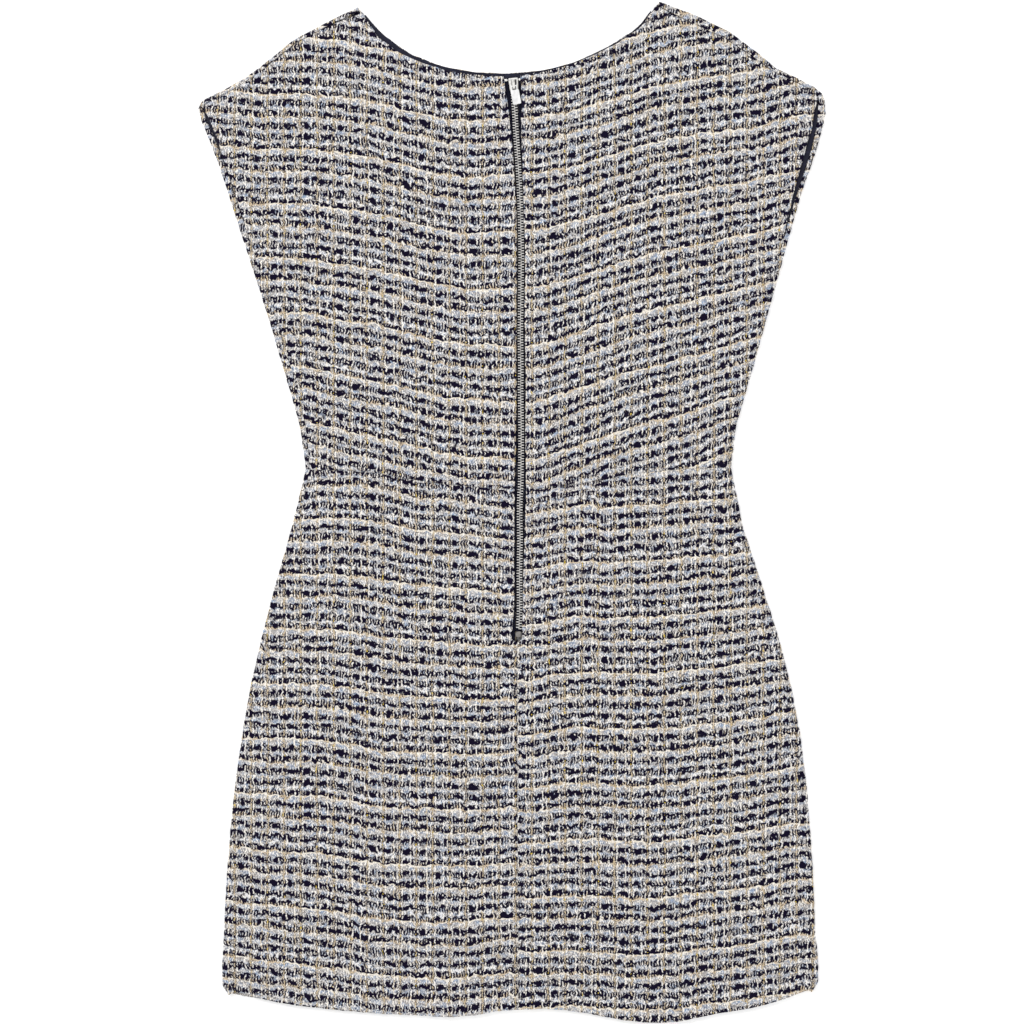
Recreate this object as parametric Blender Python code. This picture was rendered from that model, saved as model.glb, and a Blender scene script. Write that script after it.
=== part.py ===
"""Sleeveless tweed shift dress laid flat with its back uppermost, for Blender 4.5.

The dress lies on the XY plane: the neckline points to +Y, the back faces +Z and the front's
flat underside rests at Z = 0. The origin is the middle of the dress's footprint. Each cut
piece is a wall of cloth of its own, a seam gap away from the pieces sewn to it. The front
turns over the side seams and shoulders onto the back, and its armhole edges turn in.
The tables are in millimetres; the left is the wearer's left, at -X.
"""
import math
from collections import namedtuple

import bmesh
import bpy
import numpy as np
from mathutils import Matrix

MM = 0.001

# Walls and levels. A level is the height of the middle of a wall above the surface.
TWEED = 1.8              # tweed with the lining behind it
LINING = 1.0
SEAM_GAP = 0.3
WAIST_GAP = 0.4          # along the curved waist seam
FRONT_LEVEL = TWEED / 2
LINING_LEVEL = 2.6       # facing and armhole linings, lying on the front
TURN_LEVEL = 3.2         # armhole edges turned in over the front
BACK_LEVEL = 4.6         # the back where it meets the turned edges
ZIP_LEVEL = 4.5          # tapes and chain, just under the back's edges
ZIP_RISE = 2.1           # how much higher the back stands beside the zip
CENTRE_SEAM_RISE = 0.5   # the same along the seam below the zip
TURN_STEPS = 4           # facets round a turned edge

# Outline of the bodice from the waist up one side, round the shoulder tip and along the
# shoulder to the neck point. x, y: folded edge; turn: how far the front turns over;
# back: how far in the back's own edge lies; level: where the turned edge lies.
EdgeRow = namedtuple("EdgeRow", "x y turn back level")
LEFT_SIDE = (
    EdgeRow(-177.0, 38.0, 3.1, 3.4, BACK_LEVEL),
    EdgeRow(-179.7, 61.5, 4.2, 4.5, BACK_LEVEL),
    EdgeRow(-188.3, 96.0, 5.7, 6.0, BACK_LEVEL),
    EdgeRow(-196.0, 121.0, 6.5, 6.8, BACK_LEVEL),
    EdgeRow(-208.7, 164.7, 6.3, 6.6, BACK_LEVEL),
    EdgeRow(-219.7, 199.0, 5.3, 5.6, BACK_LEVEL),
    EdgeRow(-231.0, 234.0, 5.1, 5.5, 4.2),
    EdgeRow(-239.2, 259.0, 4.9, 5.6, 3.4),
    EdgeRow(-249.7, 291.7, 4.6, 5.6, TURN_LEVEL),
    EdgeRow(-255.8, 309.0, 4.2, 5.6, TURN_LEVEL),
    EdgeRow(-262.5, 325.2, 4.3, 7.4, TURN_LEVEL),
    EdgeRow(-266.6, 335.5, 3.8, 7.0, TURN_LEVEL),
    EdgeRow(-269.5, 346.0, 3.4, 5.0, 3.8),
    EdgeRow(-267.2, 352.4, 3.2, 4.0, 4.3),
)
LEFT_SHOULDER = (
    EdgeRow(-267.2, 352.4, 3.2, 4.0, 4.3),
    EdgeRow(-260.6, 356.6, 3.1, 3.4, BACK_LEVEL),
    EdgeRow(-248.5, 362.1, 3.1, 3.4, BACK_LEVEL),
    EdgeRow(-227.9, 374.3, 3.1, 3.4, BACK_LEVEL),
    EdgeRow(-208.6, 388.6, 3.1, 3.4, BACK_LEVEL),
    EdgeRow(-189.4, 404.5, 3.1, 3.4, BACK_LEVEL),
    EdgeRow(-160.8, 420.0, 3.1, 3.4, BACK_LEVEL),
    EdgeRow(-132.0, 434.2, 3.1, 3.4, BACK_LEVEL),
)
RIGHT_SIDE = (
    EdgeRow(188.4, 38.0, 3.1, 3.4, BACK_LEVEL),
    EdgeRow(190.0, 61.5, 3.1, 3.4, BACK_LEVEL),
    EdgeRow(199.0, 96.0, 3.3, 3.6, BACK_LEVEL),
    EdgeRow(209.0, 130.3, 4.0, 4.3, BACK_LEVEL),
    EdgeRow(218.4, 164.7, 3.3, 3.6, BACK_LEVEL),
    EdgeRow(227.9, 199.0, 3.3, 3.6, BACK_LEVEL),
    EdgeRow(237.4, 234.0, 4.0, 4.5, 4.2),
    EdgeRow(244.6, 258.8, 3.9, 6.1, 3.4),
    EdgeRow(249.7, 276.9, 3.2, 6.8, TURN_LEVEL),
    EdgeRow(257.0, 297.1, 3.7, 8.4, TURN_LEVEL),
    EdgeRow(261.2, 309.5, 4.0, 9.4, TURN_LEVEL),
    EdgeRow(266.2, 327.3, 4.7, 9.0, TURN_LEVEL),
    EdgeRow(269.2, 340.5, 6.2, 10.0, TURN_LEVEL),
    EdgeRow(269.5, 351.0, 5.6, 8.0, 3.8),
    EdgeRow(266.2, 360.0, 4.0, 5.0, 4.3),
)
RIGHT_SHOULDER = (
    EdgeRow(266.2, 360.0, 4.0, 5.0, 4.3),
    EdgeRow(259.2, 365.5, 3.2, 3.5, BACK_LEVEL),
    EdgeRow(240.8, 375.0, 3.2, 3.5, BACK_LEVEL),
    EdgeRow(224.6, 382.9, 3.5, 3.8, BACK_LEVEL),
    EdgeRow(213.3, 392.6, 4.5, 4.8, BACK_LEVEL),
    EdgeRow(189.2, 411.5, 6.5, 6.8, BACK_LEVEL),
    EdgeRow(161.7, 424.8, 7.2, 7.5, BACK_LEVEL),
    EdgeRow(143.6, 434.2, 6.0, 6.3, BACK_LEVEL),
    EdgeRow(126.4, 438.8, 3.6, 3.9, BACK_LEVEL),
)
# Outline of the skirt from the waist down to the middle of the hem's corner.
LEFT_SKIRT_SIDE = (
    EdgeRow(-177.2, 37.0, 3.1, 3.4, BACK_LEVEL),
    EdgeRow(-178.5, 26.0, 3.5, 3.8, BACK_LEVEL),
    EdgeRow(-182.3, 10.0, 4.4, 4.7, BACK_LEVEL),
    EdgeRow(-192.6, -24.5, 5.0, 5.3, BACK_LEVEL),
    EdgeRow(-211.6, -93.3, 5.0, 5.3, BACK_LEVEL),
    EdgeRow(-227.0, -162.0, 5.0, 5.3, BACK_LEVEL),
    EdgeRow(-237.4, -231.0, 6.2, 6.5, BACK_LEVEL),
    EdgeRow(-244.2, -300.0, 8.0, 8.3, BACK_LEVEL),
    EdgeRow(-247.7, -368.0, 10.0, 10.3, BACK_LEVEL),
    EdgeRow(-248.9, -398.0, 10.5, 10.8, BACK_LEVEL),
    EdgeRow(-247.6, -410.0, 8.0, 8.3, BACK_LEVEL),
    EdgeRow(-243.4, -415.4, 6.0, 6.3, BACK_LEVEL),
)
RIGHT_SKIRT_SIDE = (
    EdgeRow(188.4, 37.0, 3.1, 3.4, BACK_LEVEL),
    EdgeRow(188.5, 26.0, 3.2, 3.5, BACK_LEVEL),
    EdgeRow(191.8, 10.0, 3.2, 3.5, BACK_LEVEL),
    EdgeRow(202.0, -24.5, 3.2, 3.5, BACK_LEVEL),
    EdgeRow(224.8, -93.3, 3.2, 3.5, BACK_LEVEL),
    EdgeRow(242.5, -162.0, 3.2, 3.5, BACK_LEVEL),
    EdgeRow(252.8, -231.0, 3.4, 3.7, BACK_LEVEL),
    EdgeRow(258.0, -300.0, 3.8, 4.1, BACK_LEVEL),
    EdgeRow(261.2, -368.0, 4.2, 4.5, BACK_LEVEL),
    EdgeRow(263.4, -397.0, 4.2, 4.5, BACK_LEVEL),
    EdgeRow(261.8, -408.0, 4.0, 4.3, BACK_LEVEL),
    EdgeRow(257.6, -412.6, 4.0, 4.3, BACK_LEVEL),
)

Point = namedtuple("Point", "x y")
FRONT_NECK = (Point(-126.0, 427.4), Point(-119.4, 419.2), Point(-108.2, 408.2), Point(-83.4, 391.6),
              Point(-66.2, 385.0), Point(-49.0, 380.7), Point(-24.0, 377.3), Point(2.6, 377.0),
              Point(28.0, 380.0), Point(54.2, 386.8), Point(71.4, 394.5), Point(88.6, 403.2),
              Point(106.6, 415.2), Point(119.0, 430.6))
BACK_NECK_LEFT = (Point(-128.4, 429.0), Point(-121.3, 415.8), Point(-109.2, 402.5), Point(-96.3, 394.1),
                  Point(-79.1, 386.4), Point(-61.9, 380.4), Point(-35.0, 375.8), Point(-7.4, 373.9))
BACK_NECK_RIGHT = (Point(7.4, 374.9), Point(28.4, 378.2), Point(45.6, 382.8), Point(60.0, 388.0),
                   Point(75.7, 395.0), Point(97.2, 406.6), Point(107.5, 413.6), Point(117.8, 424.8),
                   Point(123.6, 435.0))
WAIST = (Point(-200.0, 37.5), Point(-147.9, 35.7), Point(-120.4, 34.0), Point(-92.0, 28.8),
         Point(-66.2, 24.9), Point(-31.8, 21.5), Point(1.0, 19.4), Point(24.0, 20.0),
         Point(50.0, 23.0), Point(79.0, 27.5), Point(98.6, 32.3), Point(123.0, 35.0),
         Point(156.0, 37.6), Point(205.0, 38.0))
HEM = (Point(-243.4, -415.4), Point(-236.0, -418.4), Point(-199.5, -421.8), Point(-169.4, -425.7),
       Point(-130.7, -429.6), Point(-79.0, -432.6), Point(-53.0, -433.9), Point(-36.0, -433.0),
       Point(-8.0, -428.2), Point(14.0, -427.0), Point(36.0, -427.2), Point(69.0, -431.3),
       Point(93.0, -436.2), Point(123.0, -438.8), Point(141.0, -438.2), Point(166.0, -432.8),
       Point(196.0, -427.9), Point(229.6, -420.3), Point(249.0, -415.6), Point(257.6, -412.6))
FRONT_HEM_LIFT = 0.8     # the front's hem stays just inside the back's
FACING_AT_SHOULDER = 12.0
FACING_AT_CENTRE = 28.0
LINING_REACH = 15.0      # how far an armhole's lining runs under the back
LINING_CLEARANCE = 0.5   # from the turned tweed's edge to an armhole's lining
LEAST_LIP = 0.2          # a turned edge runs at least this far in past its bend

# The zip from the neck down: the chain's middle line and the two folded tweed edges.
ZipRow = namedtuple("ZipRow", "y centre left right")
ZIP = (
    ZipRow(375.0, 1.0, -7.6, 7.6),
    ZipRow(362.0, 1.6, -5.4, 8.2),
    ZipRow(354.0, 2.0, -4.0, 9.0),
    ZipRow(348.0, 2.4, -2.9, 9.0),
    ZipRow(341.0, 2.7, -2.6, 7.8),
    ZipRow(328.0, 3.2, -1.1, 8.0),
    ZipRow(310.0, 4.6, 0.4, 8.6),
    ZipRow(290.0, 5.9, 2.3, 9.3),
    ZipRow(258.0, 7.3, 4.0, 10.2),
    ZipRow(219.0, 8.0, 4.2, 11.4),
    ZipRow(169.0, 7.3, 3.9, 10.8),
    ZipRow(113.0, 7.7, 3.8, 11.8),
    ZipRow(65.0, 7.9, 3.4, 11.5),
    ZipRow(18.0, 7.2, 2.1, 12.4),
    ZipRow(-12.0, 6.7, 1.5, 11.2),
    ZipRow(-63.0, 6.6, 2.4, 9.6),
    ZipRow(-85.0, 6.2, 1.6, 9.1),
    ZipRow(-108.0, 5.7, -0.7, 8.7),
)
ZIP_END = -109.0
# The seam below the zip, where both back skirt pieces meet.
CENTRE_SEAM = (Point(4.6, -112.0), Point(4.4, -180.0), Point(4.6, -260.0), Point(5.2, -340.0),
               Point(5.6, -428.0))

# Soft ridges in the back: a line from its top to its low end, with half width and rise.
Ridge = namedtuple("Ridge", "x_top y_top x_low y_low width rise")
RIDGES = (
    Ridge(-84.0, -60.0, -52.0, -434.0, 26.0, 1.4),
    Ridge(72.0, -40.0, 124.0, -438.0, 28.0, 1.5),
    Ridge(-150.0, -20.0, -175.0, -300.0, 24.0, 0.7),
    Ridge(170.0, -40.0, 196.0, -330.0, 22.0, 0.7),
    Ridge(-104.0, 150.0, -98.0, 20.0, 17.0, 1.0),
    Ridge(84.0, 150.0, 80.0, 20.0, 17.0, 1.0),
    Ridge(-186.0, 300.0, -120.0, 180.0, 26.0, 0.9),
    Ridge(190.0, 300.0, 120.0, 170.0, 26.0, 0.9),
    Ridge(-60.0, 350.0, -84.0, 210.0, 22.0, 0.6),
    Ridge(66.0, 350.0, 96.0, 200.0, 22.0, 0.6),
)
MOST_RISE = 1.7          # ridges that meet rise no further than this
RIDGE_TAPER = 45.0       # length over which a ridge dies away
SIDE_FADE = 26.0         # ridges die away this near the sides
ZIP_SHELF = 15.0         # half width of the raised strip over the tapes
ZIP_SLOPE = 58.0         # where the raised strip has come down again

# Hard pieces of the zip.
CHAIN_WIDTH = 5.8
CHAIN_THICKNESS = 2.0
CHAIN_TOP = 361.4
CHAIN_LOW = -102.4
TAPE_REACH = 12.0        # from the chain's middle line to the tape's outer edge
TAPE_TOP = 372.4
TAPE_LOW = -112.0
TAPE_STEPS = 22
SLIDER_LEAN = math.radians(5.0)
PIVOT = (1.5, 366.0, 7.4)
SLIDER_TOP = 7.0         # slider body past the pivot, towards the neck
SLIDER_LOW = 4.2         # and towards the chain
SLIDER_WIDTHS = (8.6, 7.2)
SLIDER_HEIGHTS = (3.4, 6.4)
SLIDER_ROUNDING = 1.3
SLIDER_CLEARANCE = 0.6   # from the slider's side to the tapes
BRIDGE_WIDTH = 2.2
BRIDGE_TOP = 5.6
BRIDGE_LOW = 2.5
BRIDGE_POST = 0.9
BRIDGE_CLEAR = 8.4
BRIDGE_HEIGHT = 9.1
BRIDGE_SUNK = 0.3        # its feet run this far into the slider's body
BRIDGE_BENDS = (0.7, 0.9)
TAB_WIDTH = 7.2
TAB_LENGTH = 12.6
TAB_THICKNESS = 1.1
TAB_NECK_WIDTH = 5.2
TAB_FLARE = 0.6          # half length of the slope from neck to full width
TAB_CORNER = 0.7
TAB_HOLE = (3.4, 2.9)    # width and length of the eye
TAB_PIN = 0.9            # thickness of the eye's bar
TAB_SLOPE = math.radians(3.8)
TAB_LEAN = math.radians(11.0)
STOP_SIZE = (3.0, 2.0, 1.1)
LEFT_STOP = Point(-5.3, 371.0)
RIGHT_STOP = Point(6.5, 371.6)
RIGHT_STOP_WIDTH = 1.7   # as much of it as the cloth leaves in view
END_STOP_SIZE = (5.6, 4.9, 2.3)

SIDE_STEPS = 14
SHOULDER_STEPS = 7
NECK_STEPS = 10
BACK_NECK_STEPS = 6
SKIRT_STEPS = 13
FRONT_COLUMNS = 2 * SHOULDER_STEPS + NECK_STEPS
BACK_COLUMNS = SHOULDER_STEPS + BACK_NECK_STEPS
BUNCH = 1.5              # how much the rows crowd towards a corner
KNOT_CLEAR = 0.03        # share of the hem kept clear of knots at either end


def curve_through(rows, places):
    """Rows of a smooth curve through the given rows, at shares of its length from 0 to 1."""
    table = np.array(rows, dtype=float)
    length = np.concatenate(([0.0], np.cumsum(np.hypot(*np.diff(table[:, :2], axis=0).T))))
    step = np.diff(length)[:, None]
    chord = np.diff(table, axis=0) / step
    slope = np.empty_like(table)
    slope[1:-1] = (chord[:-1] * step[1:] + chord[1:] * step[:-1]) / (step[:-1] + step[1:])
    slope[0] = chord[0]
    slope[-1] = chord[-1]
    wanted = np.asarray(places) * length[-1]
    span = np.clip(np.searchsorted(length, wanted, side="right") - 1, 0, len(step) - 1)
    t = ((wanted - length[span]) / step[span, 0])[:, None]
    reach = step[span]
    return ((2 * t**3 - 3 * t**2 + 1) * table[span] + (t**3 - 2 * t**2 + t) * reach * slope[span]
            + (3 * t**2 - 2 * t**3) * table[span + 1] + (t**3 - t**2) * reach * slope[span + 1])


def value_at(rows, key, column, where):
    """A column of a table, read where its key column has the given value."""
    table = np.array(rows, dtype=float)
    order = np.argsort(table[:, key])
    return np.interp(where, table[order, key], table[order, column])


def even(count):
    """Shares of a length at even steps."""
    return np.linspace(0.0, 1.0, count + 1)


def bunched_low(count):
    """Shares of a length that crowd towards its start."""
    return even(count) ** BUNCH


def bunched_high(count):
    """Shares of a length that crowd towards its end."""
    return 1.0 - bunched_low(count)[::-1]


def inward(path, to_left):
    """Unit vectors at right angles to a path, to its left or right as it runs."""
    along = np.gradient(path, axis=0)
    along /= np.hypot(*along.T)[:, None]
    turned = np.stack((-along[:, 1], along[:, 0]), axis=1)
    return turned if to_left else -turned


def smooth_step(low, high, value):
    """0 below low, 1 above high and a soft rise between."""
    share = np.clip((value - low) / (high - low), 0.0, 1.0)
    return share * share * (3.0 - 2.0 * share)


def side_edge(y, left):
    """The folded edge's x at a height."""
    rows = LEFT_SKIRT_SIDE + LEFT_SIDE if left else RIGHT_SKIRT_SIDE + RIGHT_SIDE
    return value_at(rows, 1, 0, y)


def waist_y(x):
    """Height of the waist seam."""
    return value_at(WAIST, 0, 1, x)


def back_level(x, y):
    """Height of the middle of the back's wall: the zip's raised strip and the soft ridges."""
    from_zip = np.abs(x - value_at(ZIP, 0, 1, y))
    below = smooth_step(ZIP_END - 45.0, ZIP_END - 5.0, y)
    strip = CENTRE_SEAM_RISE + (ZIP_RISE - CENTRE_SEAM_RISE) * below
    level = strip * (1.0 - smooth_step(ZIP_SHELF, ZIP_SLOPE, from_zip))
    ridges = 0.0
    for ridge in RIDGES:
        run = ridge.y_top - ridge.y_low
        share = np.clip((ridge.y_top - y) / run, 0.0, 1.0)
        middle = ridge.x_top + (ridge.x_low - ridge.x_top) * share
        start = smooth_step(-RIDGE_TAPER, RIDGE_TAPER, ridge.y_top - y)
        end = smooth_step(-RIDGE_TAPER, RIDGE_TAPER, y - ridge.y_low) if ridge.y_low > -400.0 else 1.0
        ridges += ridge.rise * start * end * np.exp(-((x - middle) / ridge.width) ** 2)
    away = np.minimum(x - side_edge(y, True), side_edge(y, False) - x)
    fade = smooth_step(6.0, SIDE_FADE, away)
    return BACK_LEVEL + level * fade + np.minimum(ridges, MOST_RISE) * fade


def run_shares(path):
    """How far along a path each of its points lies, from 0 to 1."""
    run = np.concatenate(([0.0], np.cumsum(np.hypot(*np.diff(path, axis=0).T))))
    return run / run[-1]


def coons(left, right, bottom, top):
    """A grid of points inside four edges; left and right run up, bottom and top run across."""
    u = ((run_shares(bottom) + run_shares(top)) / 2)[None, :, None]
    v = ((run_shares(left) + run_shares(right)) / 2)[:, None, None]
    across = (1 - u) * left[:, None] + u * right[:, None]
    up = (1 - v) * bottom[None] + v * top[None]
    corners = ((1 - v) * ((1 - u) * bottom[0] + u * bottom[-1])
               + v * ((1 - u) * top[0] + u * top[-1]))
    return across + up - corners


def with_level(grid, level):
    """Points of a flat grid raised to a level, a number or a function of x and y."""
    if callable(level):
        heights = level(grid[..., 0], grid[..., 1])
    else:
        heights = np.full(grid.shape[:-1], level)
    return np.concatenate((grid, heights[..., None]), axis=-1)


def finish_object(name, mesh, material):
    """A shaded object with its material."""
    thing = bpy.data.objects.new(name, mesh)
    bpy.context.scene.collection.objects.link(thing)
    mesh.materials.append(material)
    return thing


def wall_object(name, faces_of, thickness, material):
    """A wall of even thickness about the sheet that faces_of draws in a bmesh."""
    sheet = bmesh.new()
    faces_of(sheet)
    bmesh.ops.recalc_face_normals(sheet, faces=sheet.faces)
    mesh = bpy.data.meshes.new(name)
    sheet.to_mesh(mesh)
    sheet.free()
    thing = finish_object(name, mesh, material)
    wall = thing.modifiers.new("wall", 'SOLIDIFY')
    wall.thickness = thickness * MM
    wall.offset = 0.0
    wall.use_even_offset = True
    return thing


def add_grid(sheet, points):
    """Draw a grid of points as four-sided faces and return its vertices, row by row."""
    rows = [[sheet.verts.new(point * MM) for point in row] for row in points]
    for lower, upper in zip(rows, rows[1:]):
        for k in range(len(lower) - 1):
            sheet.faces.new((lower[k], lower[k + 1], upper[k + 1], upper[k]))
    return rows


def bend_radius(level):
    """Radius of the middle of a turned edge that ends at a level."""
    return (level - FRONT_LEVEL) / 2


def bend_inset(level):
    """How far in from the folded edge the turn's centre lies."""
    return TWEED / 2 + bend_radius(level)


def add_turn(sheet, base, rows, normals):
    """Turn the sheet over from its base vertices, up round the edge and in by each row's turn."""
    lines = [base]
    for k in range(1, TURN_STEPS + 2):
        line = []
        for row, normal in zip(rows, normals):
            x, y, turn, _, level = row
            radius = bend_radius(level)
            centre = bend_inset(level)
            angle = -math.pi / 2 + math.pi * min(k, TURN_STEPS) / TURN_STEPS
            inset = centre - radius * math.cos(angle) if k <= TURN_STEPS else max(turn, centre + LEAST_LIP)
            height = FRONT_LEVEL + radius * (1.0 + math.sin(angle))
            place = np.array((x, y)) + normal * inset
            line.append(sheet.verts.new((place[0] * MM, place[1] * MM, height * MM)))
        lines.append(line)
    for lower, upper in zip(lines, lines[1:]):
        for k in range(len(lower) - 1):
            sheet.faces.new((lower[k], lower[k + 1], upper[k + 1], upper[k]))


def outline(side, shoulder):
    """Rows of a bodice outline from waist to neck point, and the place of the shoulder tip."""
    up = curve_through(side, bunched_high(SIDE_STEPS))
    over = curve_through(shoulder, bunched_low(SHOULDER_STEPS))
    return np.concatenate((up, over[1:])), SIDE_STEPS


def inset_path(rows, normals, insets):
    """The outline moved in by a distance at each row."""
    return rows[:, :2] + normals * insets[:, None]


def bodice_edges():
    """The two bodice outlines with their inward directions."""
    left, tip = outline(LEFT_SIDE, LEFT_SHOULDER)
    right, _ = outline(RIGHT_SIDE, RIGHT_SHOULDER)
    return (left, inward(left[:, :2], False)), (right, inward(right[:, :2], True)), tip


def front_bodice(material):
    """The front of the bodice, turned over the side seams, shoulders and armhole edges."""
    (left, left_in), (right, right_in), tip = bodice_edges()
    left_base = inset_path(left, left_in, bend_inset(left[:, 4]))
    right_base = inset_path(right, right_in, bend_inset(right[:, 4]))
    neck = curve_through([left_base[-1], *FRONT_NECK, right_base[-1]], even(NECK_STEPS))
    top = np.concatenate((left_base[tip:], neck[1:-1], right_base[tip:][::-1]))
    low_x = left_base[0, 0] + even(FRONT_COLUMNS) * (right_base[0, 0] - left_base[0, 0])
    bottom = np.stack((low_x, waist_y(low_x) + WAIST_GAP / 2), axis=1)
    left[0, 1] = bottom[0, 1]
    right[0, 1] = bottom[-1, 1]
    left_in[0] = (1.0, 0.0)
    right_in[0] = (-1.0, 0.0)
    left_base[0] = bottom[0]
    right_base[0] = bottom[-1]
    grid = coons(left_base[:tip + 1], right_base[:tip + 1], bottom, top)

    def draw(sheet):
        rows = add_grid(sheet, with_level(grid, FRONT_LEVEL))
        up_left = [row[0] for row in rows]
        up_right = [row[-1] for row in rows]
        over_left = rows[-1][1:SHOULDER_STEPS + 1]
        over_right = rows[-1][-SHOULDER_STEPS - 1:-1][::-1]
        add_turn(sheet, up_left + over_left, left, left_in)
        add_turn(sheet, up_right + over_right, right, right_in)

    return wall_object("front_bodice", draw, TWEED, material)


def back_bodice(name, on_left, material):
    """One half of the back bodice, from its side seam and armhole to the zip."""
    (left, left_in), (right, right_in), tip = bodice_edges()
    rows, normals, neck = (left, left_in, BACK_NECK_LEFT) if on_left else (right, right_in, BACK_NECK_RIGHT)
    edge = inset_path(rows, normals, rows[:, 3])
    edge[0, 1] = waist_y(edge[0, 0]) + WAIST_GAP / 2
    zip_column = 2 if on_left else 3
    neck = np.array(neck if on_left else neck[::-1], dtype=float)
    edge[-1] = neck[0]
    neck_line = curve_through(neck, even(BACK_NECK_STEPS))
    top = np.concatenate((edge[tip:], neck_line[1:]))
    share = (even(tip) + run_shares(edge[:tip + 1])) / 2
    low = waist_y(value_at(ZIP, 0, zip_column, 20.0)) + WAIST_GAP / 2
    zip_y = low + share * (top[-1, 1] - low)
    zip_edge = np.stack((value_at(ZIP, 0, zip_column, zip_y), zip_y), axis=1)
    zip_edge[-1] = top[-1]
    low_x = edge[0, 0] + even(BACK_COLUMNS) * (zip_edge[0, 0] - edge[0, 0])
    bottom = np.stack((low_x, waist_y(low_x) + WAIST_GAP / 2), axis=1)
    bottom[-1] = zip_edge[0]
    grid = coons(edge[:tip + 1], zip_edge, bottom, top)
    return wall_object(name, lambda sheet: add_grid(sheet, with_level(grid, back_level)), TWEED, material)


def skirt_side(side):
    """Rows down the side of the skirt, crowded towards the hem's corner."""
    return curve_through(side, bunched_high(SKIRT_STEPS))


def front_skirt(material):
    """The front of the skirt, turned over both side seams."""
    left = skirt_side(LEFT_SKIRT_SIDE)
    right = skirt_side(RIGHT_SKIRT_SIDE)
    left_in = inward(left[:, :2], True)
    right_in = inward(right[:, :2], False)
    for rows in (left, right):
        rows[0, 1] = waist_y(rows[0, 0]) - WAIST_GAP / 2
    left_in[0] = (1.0, 0.0)
    right_in[0] = (-1.0, 0.0)
    left_base = inset_path(left, left_in, bend_inset(left[:, 4]))
    right_base = inset_path(right, right_in, bend_inset(right[:, 4]))
    hem = np.array(HEM) + (0.0, FRONT_HEM_LIFT)
    hem_line = curve_through([left_base[-1], *hem[2:-2], right_base[-1]], even(FRONT_COLUMNS))
    top_x = left_base[0, 0] + even(FRONT_COLUMNS) * (right_base[0, 0] - left_base[0, 0])
    top = np.stack((top_x, waist_y(top_x) - WAIST_GAP / 2), axis=1)
    left_base[0] = top[0]
    right_base[0] = top[-1]
    grid = coons(left_base, right_base, top, hem_line)

    def draw(sheet):
        rows = add_grid(sheet, with_level(grid, FRONT_LEVEL))
        add_turn(sheet, [row[0] for row in rows], left, left_in)
        add_turn(sheet, [row[-1] for row in rows], right, right_in)

    return wall_object("front_skirt", draw, TWEED, material)


def back_skirt(name, on_left, material):
    """One half of the back skirt, from its side seam to the zip and the centre seam."""
    rows = skirt_side(LEFT_SKIRT_SIDE if on_left else RIGHT_SKIRT_SIDE)
    normals = inward(rows[:, :2], on_left)
    edge = inset_path(rows, normals, rows[:, 3])
    edge[0, 1] = waist_y(edge[0, 0]) - WAIST_GAP / 2
    hem = np.array(HEM if on_left else HEM[::-1], dtype=float)
    seam_side = -SEAM_GAP / 2 if on_left else SEAM_GAP / 2
    seam_end = CENTRE_SEAM[-1].x + seam_side
    corner = edge[-1]
    from_seam = (hem[:, 0] - seam_end) / (corner[0] - seam_end)
    between = (from_seam > KNOT_CLEAR) & (from_seam < 1.0 - KNOT_CLEAR)
    low_end = (seam_end, value_at(HEM, 0, 1, seam_end))
    hem_line = curve_through([corner, *hem[between], low_end], even(BACK_COLUMNS))
    zip_column = 2 if on_left else 3
    top_y = waist_y(value_at(ZIP, 0, zip_column, 19.0)) - WAIST_GAP / 2
    inner_y = top_y + run_shares(edge) * (low_end[1] - top_y)
    seam_row = int(np.argmin(np.abs(inner_y - ZIP_END)))
    inner_y[seam_row] = ZIP_END
    inner_y[seam_row + 1] = CENTRE_SEAM[0].y
    inner_x = np.where(inner_y >= ZIP_END, value_at(ZIP, 0, zip_column, inner_y),
                       value_at(CENTRE_SEAM, 1, 0, inner_y) + seam_side)
    inner = np.stack((inner_x, inner_y), axis=1)
    inner[-1] = hem_line[-1]
    top_x = edge[0, 0] + even(BACK_COLUMNS) * (inner[0, 0] - edge[0, 0])
    top = np.stack((top_x, waist_y(top_x) - WAIST_GAP / 2), axis=1)
    top[-1] = inner[0]
    grid = coons(edge, inner, top, hem_line)
    return wall_object(name, lambda sheet: add_grid(sheet, with_level(grid, back_level)), TWEED, material)


def ribbon(name, inner, outer, level, thickness, material):
    """A flat band between two paths of equally many points."""
    grid = np.stack((inner, (inner + outer) / 2, outer))
    return wall_object(name, lambda sheet: add_grid(sheet, with_level(grid, level)), thickness, material)


def neck_facing(material):
    """The navy facing inside the front's neckline, as far down as it can be seen."""
    places = even(2 * NECK_STEPS)
    neck = curve_through(FRONT_NECK, places)
    depth = FACING_AT_SHOULDER + (FACING_AT_CENTRE - FACING_AT_SHOULDER) * np.sin(np.pi * places)
    low = neck + inward(neck, False) * depth[:, None]
    return ribbon("front_neck_facing", neck, low, LINING_LEVEL, LINING, material)


def armhole_lining(name, on_left, first, last, material):
    """The navy lining seen inside an armhole, tucked under the back's edge."""
    (left, left_in), (right, right_in), _ = bodice_edges()
    rows, normals = (left, left_in) if on_left else (right, right_in)
    part = slice(first, last + 1)
    turns = np.maximum(rows[:, 2], bend_inset(rows[:, 4]) + LEAST_LIP) + LINING_CLEARANCE
    outer = inset_path(rows, normals, turns)[part]
    inner = inset_path(rows, normals, turns + LINING_REACH)[part]
    return ribbon(name, outer, inner, LINING_LEVEL, LINING, material)


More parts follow.
